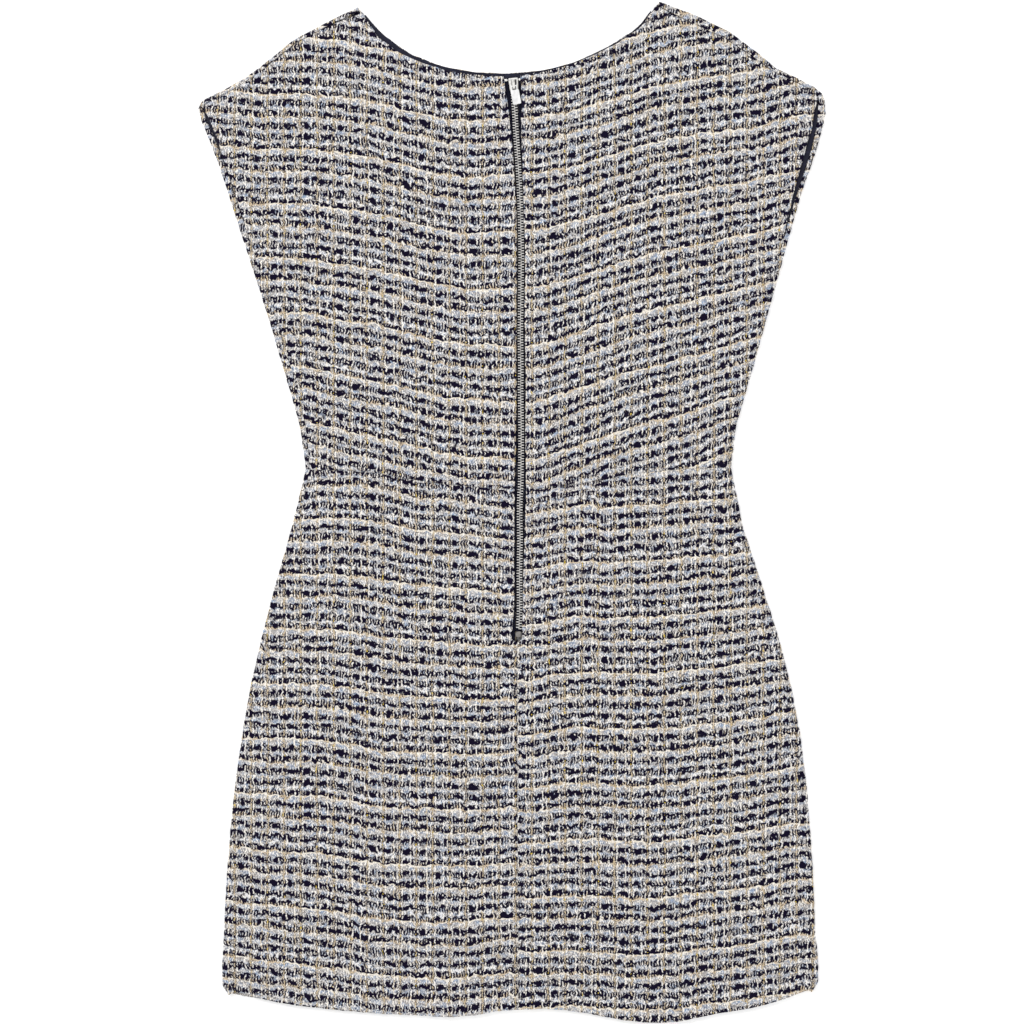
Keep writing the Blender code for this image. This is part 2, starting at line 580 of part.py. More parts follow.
def zip_tape(name, on_left, material):
    """A zip tape, wider spaced beside the slider than along the chain."""
    sign = -1.0 if on_left else 1.0
    beside_chain = np.linspace(CHAIN_TOP - 1.0, TAPE_LOW, TAPE_STEPS)
    heights = np.concatenate((np.array((TAPE_TOP, CHAIN_TOP + 1.0)), beside_chain))
    centre = value_at(ZIP, 0, 1, heights)
    beside = np.where(heights > CHAIN_TOP, SLIDER_WIDTHS[0] / 2 + SLIDER_CLEARANCE,
                      CHAIN_WIDTH / 2 + SEAM_GAP)
    inner = np.stack((centre + sign * beside, heights), axis=1)
    outer = np.stack((centre + sign * TAPE_REACH, heights), axis=1)
    return ribbon(name, inner, outer, ZIP_LEVEL, LINING, material)


def zip_chain(material):
    """The closed chain as a plain bar that follows the zip's middle line."""
    heights = np.linspace(CHAIN_TOP, CHAIN_LOW, 30)
    centre = value_at(ZIP, 0, 1, heights)
    half = CHAIN_WIDTH / 2
    sides = [np.stack((centre + offset, heights), axis=1) for offset in (-half, half)]
    return ribbon("zip_chain", sides[0], sides[1], ZIP_LEVEL, CHAIN_THICKNESS, material)


def prism(name, corners, low, high, material):
    """A plain solid: an outline in XY raised between two heights."""
    mesh = bpy.data.meshes.new(name)
    solid = bmesh.new()
    floor = solid.faces.new([solid.verts.new((x * MM, y * MM, low * MM)) for x, y in corners])
    raised = bmesh.ops.extrude_face_region(solid, geom=[floor])
    top = [item for item in raised["geom"] if isinstance(item, bmesh.types.BMVert)]
    bmesh.ops.translate(solid, verts=top, vec=(0.0, 0.0, (high - low) * MM))
    bmesh.ops.recalc_face_normals(solid, faces=solid.faces)
    solid.to_mesh(mesh)
    solid.free()
    return finish_object(name, mesh, material)


def rounded(corners, radius, steps=3):
    """An outline with its corners cut back by arcs."""
    points = []
    count = len(corners)
    for k, corner in enumerate(corners):
        here = np.array(corner, dtype=float)
        before = np.array(corners[k - 1], dtype=float) - here
        after = np.array(corners[(k + 1) % count], dtype=float) - here
        start = here + before / np.hypot(*before) * radius
        end = here + after / np.hypot(*after) * radius
        for t in np.linspace(0.0, 1.0, steps + 1):
            points.append((1 - t) ** 2 * start + 2 * t * (1 - t) * here + t**2 * end)
    return points


def place(thing, where, lean):
    """Stand a piece on the zip, leaning with it."""
    thing.location = [value * MM for value in where]
    thing.rotation_euler = (0.0, 0.0, lean)
    return thing


def join_to(thing, tool):
    """Join a tool's shape to a piece; the tool itself isn't part of the dress."""
    union = thing.modifiers.new("join", 'BOOLEAN')
    union.operation = 'UNION'
    union.solver = 'EXACT'
    union.object = tool
    tool.hide_render = True
    tool.display_type = 'WIRE'


def zip_slider(material):
    """The slider: a waisted body with the bridge that holds the pull tab."""
    low, high = SLIDER_HEIGHTS
    wide, narrow = SLIDER_WIDTHS[0] / 2, SLIDER_WIDTHS[1] / 2
    body = rounded([(-wide, SLIDER_TOP), (-narrow, -SLIDER_LOW), (narrow, -SLIDER_LOW), (wide, SLIDER_TOP)],
                   SLIDER_ROUNDING)
    slider = prism("zip_slider", body, low - PIVOT[2], high - PIVOT[2], material)
    bevel = slider.modifiers.new("soft edges", 'BEVEL')
    bevel.width = 0.4 * MM
    bevel.segments = 1
    half = BRIDGE_WIDTH / 2
    foot = high - BRIDGE_SUNK - PIVOT[2]
    clear = BRIDGE_CLEAR - PIVOT[2]
    crown = BRIDGE_HEIGHT - PIVOT[2]
    low_bend, top_bend = BRIDGE_BENDS
    arch = [(-BRIDGE_LOW, foot), (-BRIDGE_LOW, crown - low_bend), (-BRIDGE_LOW + low_bend, crown),
            (BRIDGE_TOP - top_bend, crown),
            (BRIDGE_TOP, crown - top_bend), (BRIDGE_TOP, foot), (BRIDGE_TOP - BRIDGE_POST, foot),
            (BRIDGE_TOP - BRIDGE_POST, clear), (-BRIDGE_LOW + BRIDGE_POST, clear),
            (-BRIDGE_LOW + BRIDGE_POST, foot)]
    bridge = prism("slider_bridge", arch, -half, half, material)
    for vert in bridge.data.vertices:
        across = vert.co.z
        vert.co = (across, vert.co.x, vert.co.y)
    place(bridge, PIVOT, SLIDER_LEAN)
    join_to(slider, bridge)
    return place(slider, PIVOT, SLIDER_LEAN)


def pull_tab(material):
    """The pull tab: a plain plate with an eye whose bar turns under the slider's bridge."""
    neck = TAB_NECK_WIDTH / 2
    hole_half, hole_length = TAB_HOLE[0] / 2, TAB_HOLE[1]
    bar = TAB_PIN / 2
    shoulder = -bar - hole_length
    wide = TAB_WIDTH / 2
    end = shoulder - TAB_LENGTH
    mesh = bpy.data.meshes.new("zip_pull_tab")
    plate = bmesh.new()
    half = TAB_THICKNESS / 2

    def ring(points, height):
        return [plate.verts.new((x * MM, y * MM, height * MM)) for x, y in points]

    flare, corner = TAB_FLARE, TAB_CORNER
    outer = [(-neck, bar), (neck, bar), (neck, shoulder + flare), (wide, shoulder - flare),
             (wide, end + corner), (wide - corner, end), (corner - wide, end), (-wide, end + corner),
             (-wide, shoulder - flare), (-neck, shoulder + flare)]
    inner = [(-hole_half, -bar), (hole_half, -bar), (hole_half, shoulder), (-hole_half, shoulder)]
    outer_low, outer_high = ring(outer, -half), ring(outer, half)
    inner_low, inner_high = ring(inner, -half), ring(inner, half)
    for low_ring, high_ring in ((outer_low, outer_high), (inner_low, inner_high)):
        count = len(low_ring)
        for k in range(count):
            n = (k + 1) % count
            plate.faces.new((low_ring[k], low_ring[n], high_ring[n], high_ring[k]))
    for rim, eye in ((outer_low, inner_low), (outer_high, inner_high)):
        plate.faces.new((rim[0], rim[1], eye[1], eye[0]))
        plate.faces.new((rim[1], rim[2], eye[2], eye[1]))
        plate.faces.new((rim[9], rim[0], eye[0], eye[3]))
        plate.faces.new((eye[2], rim[2], rim[3]))
        plate.faces.new((eye[3], eye[2], rim[3], rim[8]))
        plate.faces.new((eye[3], rim[8], rim[9]))
        plate.faces.new(rim[3:9])
    bmesh.ops.recalc_face_normals(plate, faces=plate.faces)
    bmesh.ops.rotate(plate, verts=plate.verts, cent=(0.0, 0.0, 0.0),
                     matrix=Matrix.Rotation(TAB_SLOPE, 3, 'X'))
    plate.to_mesh(mesh)
    plate.free()
    return place(finish_object("zip_pull_tab", mesh, material), PIVOT, TAB_LEAN)


def block(name, middle, size, lean, material):
    """A small block with its corners cut off."""
    half_x, half_y = size[0] / 2, size[1] / 2
    corners = rounded([(-half_x, -half_y), (half_x, -half_y), (half_x, half_y), (-half_x, half_y)],
                      0.25 * size[1], steps=1)
    return place(prism(name, corners, -size[2] / 2, size[2] / 2, material), middle, lean)


def zip_stops(material):
    """The two top stops beside the slider and the square one at the zip's end."""
    over_tape = ZIP_LEVEL + LINING / 2 + SEAM_GAP + STOP_SIZE[2] / 2
    block("zip_top_stop_left", (*LEFT_STOP, over_tape), STOP_SIZE, SLIDER_LEAN, material)
    block("zip_top_stop_right", (*RIGHT_STOP, over_tape), (RIGHT_STOP_WIDTH, *STOP_SIZE[1:]), SLIDER_LEAN,
          material)
    end_y = CHAIN_LOW - SEAM_GAP - END_STOP_SIZE[1] / 2
    end_x = float(value_at(ZIP, 0, 1, end_y))
    block("zip_bottom_stop", (end_x, end_y, ZIP_LEVEL), END_STOP_SIZE, 0.0, material)


def make_material(name, colour, roughness, metallic=0.0):
    """A plain finish."""
    material = bpy.data.materials.new(name)
    material.use_nodes = True
    shader = material.node_tree.nodes["Principled BSDF"]
    shader.inputs["Base Color"].default_value = (*colour, 1.0)
    shader.inputs["Roughness"].default_value = roughness
    shader.inputs["Metallic"].default_value = metallic
    return material


def main():
    """Lay the whole dress."""
    for thing in list(bpy.data.objects):
        bpy.data.objects.remove(thing, do_unlink=True)
    tweed = make_material("tweed", (0.29, 0.27, 0.26), 0.9)
    lining = make_material("navy lining", (0.017, 0.019, 0.035), 0.55)
    tape = make_material("navy tape", (0.014, 0.015, 0.03), 0.8)
    metal = make_material("nickel", (0.72, 0.71, 0.69), 0.3, 1.0)
    front_bodice(tweed)
    front_skirt(tweed)
    for side, on_left in (("left", True), ("right", False)):
        back_bodice("back_bodice_" + side, on_left, tweed)
        back_skirt("back_skirt_" + side, on_left, tweed)
        zip_tape("zip_tape_" + side, on_left, tape)
    neck_facing(lining)
    armhole_lining("armhole_lining_left", True, 7, SIDE_STEPS - 1, lining)
    armhole_lining("armhole_lining_right", False, 5, SIDE_STEPS, lining)
    zip_chain(metal)
    zip_slider(metal)
    pull_tab(metal)
    zip_stops(metal)


main()
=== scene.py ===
"""Looks of a sleeveless tweed shift dress, laid flat with its back uppermost.

Lengths are in metres unless a name ends in _mm. The weave's patterns are laid out in
millimetres: across the cloth in the first coordinate and down the rows in the second.
"""

import logging
import math
from dataclasses import dataclass, field
from enum import Enum
from typing import NamedTuple, Sequence

import bmesh
import bpy
import numpy as np
from mathutils import Matrix, Vector
from mathutils.bvhtree import BVHTree


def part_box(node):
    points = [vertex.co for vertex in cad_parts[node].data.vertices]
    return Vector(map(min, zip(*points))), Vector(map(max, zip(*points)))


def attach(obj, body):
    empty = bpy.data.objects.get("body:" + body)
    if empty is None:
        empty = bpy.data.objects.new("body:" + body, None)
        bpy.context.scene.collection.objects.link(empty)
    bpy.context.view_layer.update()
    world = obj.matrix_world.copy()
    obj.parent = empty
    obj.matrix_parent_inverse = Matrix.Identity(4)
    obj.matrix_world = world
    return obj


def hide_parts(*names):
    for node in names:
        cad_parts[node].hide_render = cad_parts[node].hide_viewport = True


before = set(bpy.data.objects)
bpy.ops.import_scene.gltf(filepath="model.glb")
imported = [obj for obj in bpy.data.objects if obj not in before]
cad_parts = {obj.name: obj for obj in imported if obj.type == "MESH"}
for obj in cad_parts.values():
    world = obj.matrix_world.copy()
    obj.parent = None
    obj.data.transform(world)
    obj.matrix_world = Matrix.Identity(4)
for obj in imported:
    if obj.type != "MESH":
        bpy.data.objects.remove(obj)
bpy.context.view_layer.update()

log = logging.getLogger("shift_dress")
MM = 0.001
BODY = "dress"
TAB_BODY = "pull_tab"
WEAVE_MAP = "weave"


class Slot(Enum):
    """The finishes that the dress's pieces take."""

    TWEED = "tweed"
    LINING = "navy_lining"
    TAPE = "navy_tape"
    NICKEL = "nickel"


class Finish(Enum):
    """The states of the zip's plating; one adds painted shade round the slider's bridge, one a painted
    highlight.
    """

    NICKEL = "nickel"
    # painted shade: the slider's plating is coloured dark round its bridge, in place of the bridge's shadow
    HOLLOWED = "dark round the bridge"
    # painted highlight: the pull tab's nickel is lightened to pure white as a lit copy of the plating,
    # besides being polished
    POLISHED = "polished"
    DULL = "dull"


# --------------------------------------------------------------------------- shader fields


def linear(code: str) -> tuple[float, float, float, float]:
    """Turn a colour code into the linear colour that shaders use.

    Args:
        code: Six hexadecimal digits after a hash mark.

    Returns:
        Red, green, blue and an alpha of 1.
    """
    parts = [int(code[k:k + 2], 16) / 255 for k in (1, 3, 5)]
    return (*[p / 12.92 if p <= 0.04045 else ((p + 0.055) / 1.055) ** 2.4 for p in parts], 1.0)


class Field:
    """A value or colour that varies over a surface, which plain arithmetic can use."""

    def __init__(self, recipe: "Recipe", socket: bpy.types.NodeSocket) -> None:
        """Wrap an output socket of a recipe's node."""
        self.recipe = recipe
        self.socket = socket

    def maths(self, operation: str, *values: "Field | float") -> "Field":
        """Add a Math node that starts from this field.

        Args:
            operation: The node's operation.
            values: Its other inputs.

        Returns:
            The node's result.
        """
        node = self.recipe.node("ShaderNodeMath", {"operation": operation}, (self, *values))
        return Field(self.recipe, node.outputs[0])

    def __add__(self, other: "Field | float") -> "Field":
        """Add."""
        return self.maths("ADD", other)

    __radd__ = __add__

    def __mul__(self, other: "Field | float") -> "Field":
        """Multiply."""
        return self.maths("MULTIPLY", other)

    __rmul__ = __mul__

    def __sub__(self, other: "Field | float") -> "Field":
        """Subtract."""
        return self.maths("SUBTRACT", other)

    def __rsub__(self, other: "Field | float") -> "Field":
        """Subtract this field from a value."""
        return self.maths("MULTIPLY", -1.0).maths("ADD", other)

    def __truediv__(self, other: "Field | float") -> "Field":
        """Divide."""
        return self.maths("DIVIDE", other)

    def __abs__(self) -> "Field":
        """Drop the sign."""
        return self.maths("ABSOLUTE")

    def __mod__(self, size: float) -> "Field":
        """Wrap round at a size."""
        return self.maths("FLOORED_MODULO", size)

    def least(self, other: "Field | float") -> "Field":
        """The smaller of two values."""
        return self.maths("MINIMUM", other)

    def most(self, other: "Field | float") -> "Field":
        """The larger of two values."""
        return self.maths("MAXIMUM", other)

    def rise(self, low: float, high: float) -> "Field":
        """Rise softly from 0 to 1 between two values, or fall where low is the larger."""
        settings = {"interpolation_type": "SMOOTHSTEP", "clamp": True}
        if low < high:
            node = self.recipe.node("ShaderNodeMapRange", settings, (self, low, high, 0.0, 1.0))
        else:
            node = self.recipe.node("ShaderNodeMapRange", settings, (self, high, low, 1.0, 0.0))
        return Field(self.recipe, node.outputs[0])


class Recipe:
    """A material's node tree, with one method that adds any node to it."""

    def __init__(self, name: str, roughness: float, metallic: float = 0.0, sheen: float = 0.0,
                 specular: float = 0.5) -> None:
        """Start a material from its constant properties.

        Args:
            name: The material's name.
            roughness: How matt it is.
            metallic: 1 for metal.
            sheen: Weight of the cloth's soft sheen.
            specular: Strength of its mirror reflection.
        """
        self.material = bpy.data.materials.new(name)
        self.material.use_nodes = True
        self.tree = self.material.node_tree
        self.shader = self.tree.nodes["Principled BSDF"]
        self.shader.inputs["Roughness"].default_value = roughness
        self.shader.inputs["Metallic"].default_value = metallic
        self.shader.inputs["Sheen Weight"].default_value = sheen
        self.shader.inputs["Specular IOR Level"].default_value = specular

    def node(self, kind: str, settings: dict, values: "dict | Sequence") -> bpy.types.Node:
        """Add a node.

        Args:
            kind: The node's type.
            settings: Its properties, set before its inputs.
            values: Fields or constants for its inputs, in order or by name.

        Returns:
            The node.
        """
        made = self.tree.nodes.new(kind)
        for key, value in settings.items():
            setattr(made, key, value)
        for key, value in values.items() if isinstance(values, dict) else enumerate(values):
            if isinstance(value, Field):
                self.tree.links.new(value.socket, made.inputs[key])
            else:
                made.inputs[key].default_value = value
        return made

    def weave_coordinates(self) -> tuple[Field, Field]:
        """The place on the cloth in millimetres, across it and down its rows."""
        uv = self.node("ShaderNodeUVMap", {"uv_map": WEAVE_MAP}, ())
        parts = self.node("ShaderNodeSeparateXYZ", {}, (Field(self, uv.outputs[0]),))
        return Field(self, parts.outputs[0]) * 1000.0, Field(self, parts.outputs[1]) * 1000.0

    def object_coordinates(self) -> tuple[Field, Field, Field]:
        """The place on the object in millimetres."""
        where = self.node("ShaderNodeTexCoord", {}, ())
        parts = self.node("ShaderNodeSeparateXYZ", {}, (Field(self, where.outputs["Object"]),))
        return tuple(Field(self, out) * 1000.0 for out in parts.outputs)

    def noise(self, x: "Field | float", y: "Field | float", detail: float = 0.0) -> Field:
        """Soft random values about 0.5.

        Args:
            x: First coordinate, 1 for each blot.
            y: Second coordinate.
            detail: How much finer noise is mixed in.

        Returns:
            The values.
        """
        place = self.node("ShaderNodeCombineXYZ", {}, (x, y, 0.0))
        node = self.node("ShaderNodeTexNoise", {"noise_dimensions": "2D"},
                         {"Vector": Field(self, place.outputs[0]), "Scale": 1.0, "Detail": detail})
        return Field(self, node.outputs[0])

    def mix(self, under: "Field | str", over: "Field | str", share: Field) -> Field:
        """Lay one colour over another by a share."""
        node = self.node("ShaderNodeMix", {"data_type": "RGBA"}, {0: share})
        for index, value in ((6, under), (7, over)):
            if isinstance(value, Field):
                self.tree.links.new(value.socket, node.inputs[index])
            else:
                node.inputs[index].default_value = linear(value)
        return Field(self, node.outputs[2])

    def scaled(self, colour: Field, amount: Field) -> Field:
        """Make a colour lighter or darker by a varying amount."""
        node = self.node("ShaderNodeVectorMath", {"operation": "SCALE"}, {0: colour, "Scale": amount})
        return Field(self, node.outputs[0])

    def finish(self, colour: "Field | str", height: "Field | None" = None, strength: float = 0.5,
               depth: float = 0.0005, roughness: "Field | None" = None) -> bpy.types.Material:
        """Join the colour, relief and roughness to the shader.

        Args:
            colour: The base colour.
            height: Relief from 0 to 1.
            strength: How much of the relief shows.
            depth: The relief's depth.
            roughness: Varying roughness.

        Returns:
            The material.
        """
        base = self.shader.inputs["Base Color"]
        if isinstance(colour, Field):
            self.tree.links.new(colour.socket, base)
        else:
            base.default_value = linear(colour)
        if height is not None:
            bump = self.node("ShaderNodeBump", {},
                             {"Height": height, "Strength": strength, "Distance": depth})
            self.tree.links.new(bump.outputs[0], self.shader.inputs["Normal"])
        if roughness is not None:
            self.tree.links.new(roughness.socket, self.shader.inputs["Roughness"])
        return self.material


# --------------------------------------------------------------------------- finishes


@dataclass(frozen=True)
class Tweed:
    """Boucle tweed: broken navy slubs and thin cream picks over pale puffs, crossed by gold."""

    repeat_mm: float = 47.8
    navy_picks_mm: tuple[float, ...] = (8.5, 16.9, 27.7, 37.0, 46.0)
    cream_picks_mm: tuple[float, ...] = (0.0, 19.1)
    gold_pitch_mm: float = 14.2
    ivory_pitch_mm: float = 7.1
    fine_pitch_mm: float = 2.37
    navy: str = "#130e24"
    blue_puff: str = "#9da5b5"
    grey_puff: str = "#b0acab"
    pale_puff: str = "#e4e4e8"
    shade: str = "#292322"
    cream: str = "#f3eadc"
    peach: str = "#d2bda0"
    gold: str = "#d0bc98"
    ivory: str = "#fffaf2"
    yellow: str = "#d9bc48"
    clear_blue: str = "#9ab0cf"

    def nearest(self, row: Field, centres: Sequence[float]) -> Field:
        """Distance to the nearest of some picks.

        Args:
            row: Place within the repeat.
            centres: Places of the picks' middles.

        Returns:
            The distance in millimetres.
        """
        nearest = abs(row - centres[0])
        for centre in centres[1:]:
            nearest = nearest.least(abs(row - centre))
        return nearest

    def from_thread(self, across: Field, pitch: float, offset: float) -> Field:
        """Distance to the nearest of some evenly spaced threads that run down the cloth.

        Args:
            across: Wavering place across the cloth.
            pitch: Distance from thread to thread.
            offset: Place of one of them.

        Returns:
            The distance in millimetres.
        """
        return abs((across + (pitch / 2 - offset)) % pitch - pitch / 2)

    def thread(self, across: Field, pitch: float, offset: float, half: float) -> Field:
        """The same threads as a share that is 1 along their middles, from half their width."""
        return self.from_thread(across, pitch, offset).rise(half * 1.25, half * 0.75)

    def build(self) -> bpy.types.Material:
        """Weave the tweed.

        Returns:
            The material.
        """
        r = Recipe("tweed", roughness=0.92, sheen=0.015, specular=0.06)
        across, down = r.weave_coordinates()
        waver = r.noise(across * 0.21, down * 0.1)
        wrapped = down + (r.noise(across * 0.045, down * 0.05) - 0.5) * 3.0 + (waver - 0.5) * 2.8
        row = wrapped % self.repeat_mm
        twist = r.noise(across * 0.26, down * 0.4)
        side = across + (r.noise(across * 0.05, down * 0.13) - 0.5) * 2.2 + (twist - 0.5) * 1.6
        grain = r.noise(across / 0.8, wrapped / 0.8 + 9.0, 1.0)
        fine = r.noise(across / 0.85 + 40.0, wrapped / 1.7, 1.0)
        blot = r.noise(across / 5.2 + 17.0, wrapped / 3.6, 1.0)
        region = r.noise(across / 9.5 + 23.0, wrapped / 4.6, 1.0)

        # pale ground: puffs of two yarns with fine upright shadows and glints
        tint = r.noise(across / 8.0, wrapped / 3.8 + 40.0, 1.0)
        ground = r.mix(self.grey_puff, self.blue_puff, tint.rise(0.44, 0.56))
        ground = r.mix(ground, self.clear_blue, tint.rise(0.68, 0.74) * 0.7)
        gap_row = abs(row - 41.5).rise(3.6, 2.0)
        pale = blot.rise(0.53, 0.57) * (gap_row * 0.6 + 0.4)
        ground = r.mix(ground, self.pale_puff, pale)
        ground = r.mix(ground, self.shade, fine.rise(0.36, 0.31) * 0.8)
        ground = r.mix(ground, self.ivory, fine.rise(0.6, 0.64) * 0.95)

        # thin cream picks that arch over the puffs
        arch = self.from_thread(side, self.gold_pitch_mm, 3.0) * 0.22 - 0.8
        to_cream = self.nearest(row + arch, (*self.cream_picks_mm, self.repeat_mm))
        cream = (blot * 2.4 + 0.45 - to_cream + (grain - 0.5) * 2.4).rise(-0.1, 0.4)
        cream_yarn = r.mix(self.cream, self.peach, region.rise(0.48, 0.6))
        colour = r.mix(ground, cream_yarn, cream * 0.9)

        # broken ground beside the gold ends: tan, ivory and dark specks
        to_gold = self.from_thread(side, self.gold_pitch_mm, 3.0)
        mixed = (region * 9.0 - 2.2 - to_gold).rise(0.0, 1.2)
        teeth = self.thread(side, self.fine_pitch_mm, 0.6, 0.5)
        colour = r.mix(colour, self.shade, mixed * grain.rise(0.5, 0.45) * 0.85)
        colour = r.mix(colour, self.peach, mixed * grain.rise(0.54, 0.58) * 0.6)

        # ends that run down the cloth under the slubs
        gold = to_gold.rise(0.75, 0.4)
        gold_show = gold * r.noise(side / 7.0, wrapped / 3.0, 1.0).rise(0.42, 0.5)
        second = self.thread(side, self.gold_pitch_mm * 2.0, 12.0, 0.55) * region.rise(0.42, 0.52)
        ivory_end = self.thread(side, self.ivory_pitch_mm, 5.0, 0.55).most(
            self.thread(side, self.gold_pitch_mm, 1.3, 0.45))
        ivory_show = ivory_end * r.noise(side / 4.0 + 51.0, wrapped / 3.0, 1.0).rise(0.44, 0.56)
        colour = r.mix(colour, self.gold, gold_show.most(second) * 0.75)
        colour = r.mix(colour, self.ivory, ivory_show * 0.9)

        # broken navy slubs
        to_navy = self.nearest(row, self.navy_picks_mm)
        slub = r.noise(across / 3.9 + 7.0, wrapped / 4.4, 1.0)
        half = ((slub - 0.5) * 9.0 + 2.85).least(3.15) + (grain - 0.5) * 2.6
        navy = (half - to_navy).rise(-0.05, 0.2)
        cut = (teeth * region.rise(0.5, 0.56)).most(ivory_show).most(gold * region.rise(0.44, 0.5))
        navy = navy * (1.0 - cut * 0.93)
        upright = self.thread(side, self.ivory_pitch_mm, 1.6, 0.7) * gap_row
        navy = navy.most(upright * blot.rise(0.5, 0.44) * 0.9)
        speck = (fine + grain).rise(0.82, 0.77) * to_navy.rise(4.2, 3.0)
        navy = navy.most(speck * 0.9)
        colour = r.mix(colour, self.navy, navy)

        # rare bright flecks
        fleck = r.noise(across / 2.2, wrapped / 2.6 + 130.0).rise(0.79, 0.81)
        colour = r.mix(colour, self.yellow, fleck * gold * 0.9)
        colour = r.scaled(colour, grain * 1.1 + 0.46)

        relief = self.nearest(row, self.navy_picks_mm).rise(3.0, 0.0) * 0.6 + grain * 0.5
        return r.finish(colour, relief, strength=0.6, depth=0.0006)


@dataclass(frozen=True)
class LiningCloth:
    """Smooth navy lining with a fine cross weave and faint slack ripples."""

    colour: str = "#191a2c"
    glint: str = "#2a2c42"
    thread_mm: float = 0.28

    def build(self) -> bpy.types.Material:
        """Weave the lining.

        Returns:
            The material.
        """
        r = Recipe("navy lining", roughness=0.5, sheen=0.05, specular=0.2)
        x, y, _ = r.object_coordinates()
        ripple = r.noise(x / 9.0, y / 5.0, 1.0)
        over = abs(x / self.thread_mm % 2.0 - 1.0)
        under = abs(y / self.thread_mm % 2.0 - 1.0)
        weave = over * 0.5 + under * 0.5
        colour = r.mix(self.colour, self.glint, ripple.rise(0.5, 0.75) * 0.6)
        roughness = ripple * 0.2 + 0.4
        return r.finish(colour, ripple + weave * 0.2, strength=0.35, depth=0.0006, roughness=roughness)


@dataclass(frozen=True)
class TapeCloth:
    """Close woven zip tape with ribs along it."""

    colour: str = "#0f1020"
    worn: str = "#1f2034"
    rib_mm: float = 0.7

    def build(self) -> bpy.types.Material:
        """Weave the tape.

        Returns:
            The material.
        """
        r = Recipe("navy tape", roughness=0.82, sheen=0.02, specular=0.1)
        x, y, _ = r.object_coordinates()
        rib = abs(x / self.rib_mm % 2.0 - 1.0)
        pick = abs(y / (0.6 * self.rib_mm) % 2.0 - 1.0)
        fluff = r.noise(x / 0.9, y / 1.6, 2.0)
        colour = r.mix(self.colour, self.worn, fluff.rise(0.45, 0.75) * rib)
        return r.finish(colour, rib * 0.6 + pick * 0.3 + fluff * 0.3, strength=0.6, depth=0.0003)


@dataclass(frozen=True)
class ZipMetal:
    """Bright nickel plating with fine rubbing marks, and painted shade round the slider's bridge where its
    box is given.
    """

    name: str
    colour: str
    dulled: str
    roughness: float
    metallic: float
    # box of the painted shade round the slider's bridge: middle x, middle y, half width, half length and top,
    # in millimetres
    bridge_shade_mm: "tuple[float, float, float, float, float] | None" = None
    bridge_shade_colour: str = "#191722"

    def build(self) -> bpy.types.Material:
        """Plate the metal.

        Returns:
            The material.
        """
        r = Recipe(self.name, roughness=self.roughness, metallic=self.metallic)
        x, y, z = r.object_coordinates()
        rub = r.noise(x / 0.5 + z * 2.0, y / 2.5, 2.0)
        smear = r.noise(x / 3.0, y / 4.0 + z, 1.0)
        colour = r.mix(self.colour, self.dulled, smear.rise(0.45, 0.7))
        # painted shade: dark colour round the slider's bridge, below the bridge's top, for the shadow that
        # the bridge casts
        if self.bridge_shade_mm is not None:
            middle_x, middle_y, half_width, half_length, top = self.bridge_shade_mm
            bridge_shade_share = abs(x - middle_x).rise(half_width + 0.2, half_width - 0.2) \
                * abs(y - middle_y).rise(half_length + 0.3, half_length - 0.3) * z.rise(top + 0.1, top - 0.1)
            colour = r.mix(colour, self.bridge_shade_colour, bridge_shade_share * 0.9)
        roughness = rub * 0.25 + (self.roughness - 0.1)
        return r.finish(colour, rub, strength=0.08, depth=0.0002, roughness=roughness)


# --------------------------------------------------------------------------- mesh helpers


def deselect() -> None:
    """Leave nothing selected, in object mode."""
    if bpy.context.object is not None and bpy.context.object.mode != 'OBJECT':
        bpy.ops.object.mode_set(mode='OBJECT')
    bpy.ops.object.select_all(action='DESELECT')


def choose(thing: bpy.types.Object) -> None:
    """Select one object and make it active."""
    deselect()
    thing.select_set(True)
    bpy.context.view_layer.objects.active = thing


def apply_modifier(thing: bpy.types.Object, kind: str, **settings: object) -> None:
    """Add a modifier, set it and apply it.

    Args:
        thing: The piece.
        kind: The modifier's type.
        settings: Its properties.
    """
    choose(thing)
    modifier = thing.modifiers.new(kind.lower(), kind)
    for key, value in settings.items():
        setattr(modifier, key, value)
    bpy.ops.object.modifier_apply(modifier=modifier.name)


def copy_of_node(node: str, name: str) -> bpy.types.Object:
    """Copy a frame node as a new piece with its loose triangles merged.

    Args:
        node: The node's name.
        name: The piece's name.

    Returns:
        The piece.
    """
    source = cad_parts[node]
    piece = bpy.data.objects.new(name, source.data.copy())
    bpy.context.scene.collection.objects.link(piece)
    piece.data.materials.clear()
    choose(piece)
    bpy.ops.object.mode_set(mode='EDIT')
    bpy.ops.mesh.select_all(action='SELECT')
    bpy.ops.mesh.remove_doubles(threshold=1e-6)
    bpy.ops.mesh.customdata_custom_splitnormals_clear()
    bpy.ops.mesh.dissolve_limited(angle_limit=math.radians(0.02))
    bpy.ops.object.mode_set(mode='OBJECT')
    return piece


def coordinates(mesh: bpy.types.Mesh) -> np.ndarray:
    """A mesh's points as rows of x, y, z."""
    flat = np.empty(len(mesh.vertices) * 3, dtype=np.float32)
    mesh.vertices.foreach_get("co", flat)
    return flat.reshape(-1, 3).astype(float)


def set_coordinates(mesh: bpy.types.Mesh, points: np.ndarray) -> None:
    """Move a mesh's points."""
    mesh.vertices.foreach_set("co", points.astype(np.float32).ravel())
    mesh.update()


def value_noise(x: np.ndarray, y: np.ndarray, size: float, seed: int) -> np.ndarray:
    """Smooth random values from 0 to 1.

    Args:
        x: First coordinates.
        y: Second coordinates.
        size: Size of a blot in the same unit.
        seed: Start of the random series.

    Returns:
        A value for each place.
    """
    lattice = np.random.default_rng(seed).random((256, 256))
    u, v = x / size, y / size
    i, j = np.floor(u).astype(int), np.floor(v).astype(int)
    s, t = u - i, v - j
    s, t = s * s * (3 - 2 * s), t * t * (3 - 2 * t)
    low = lattice[i & 255, j & 255] * (1 - s) + lattice[(i + 1) & 255, j & 255] * s
    high = lattice[i & 255, (j + 1) & 255] * (1 - s) + lattice[(i + 1) & 255, (j + 1) & 255] * s
    return low * (1 - t) + high * t


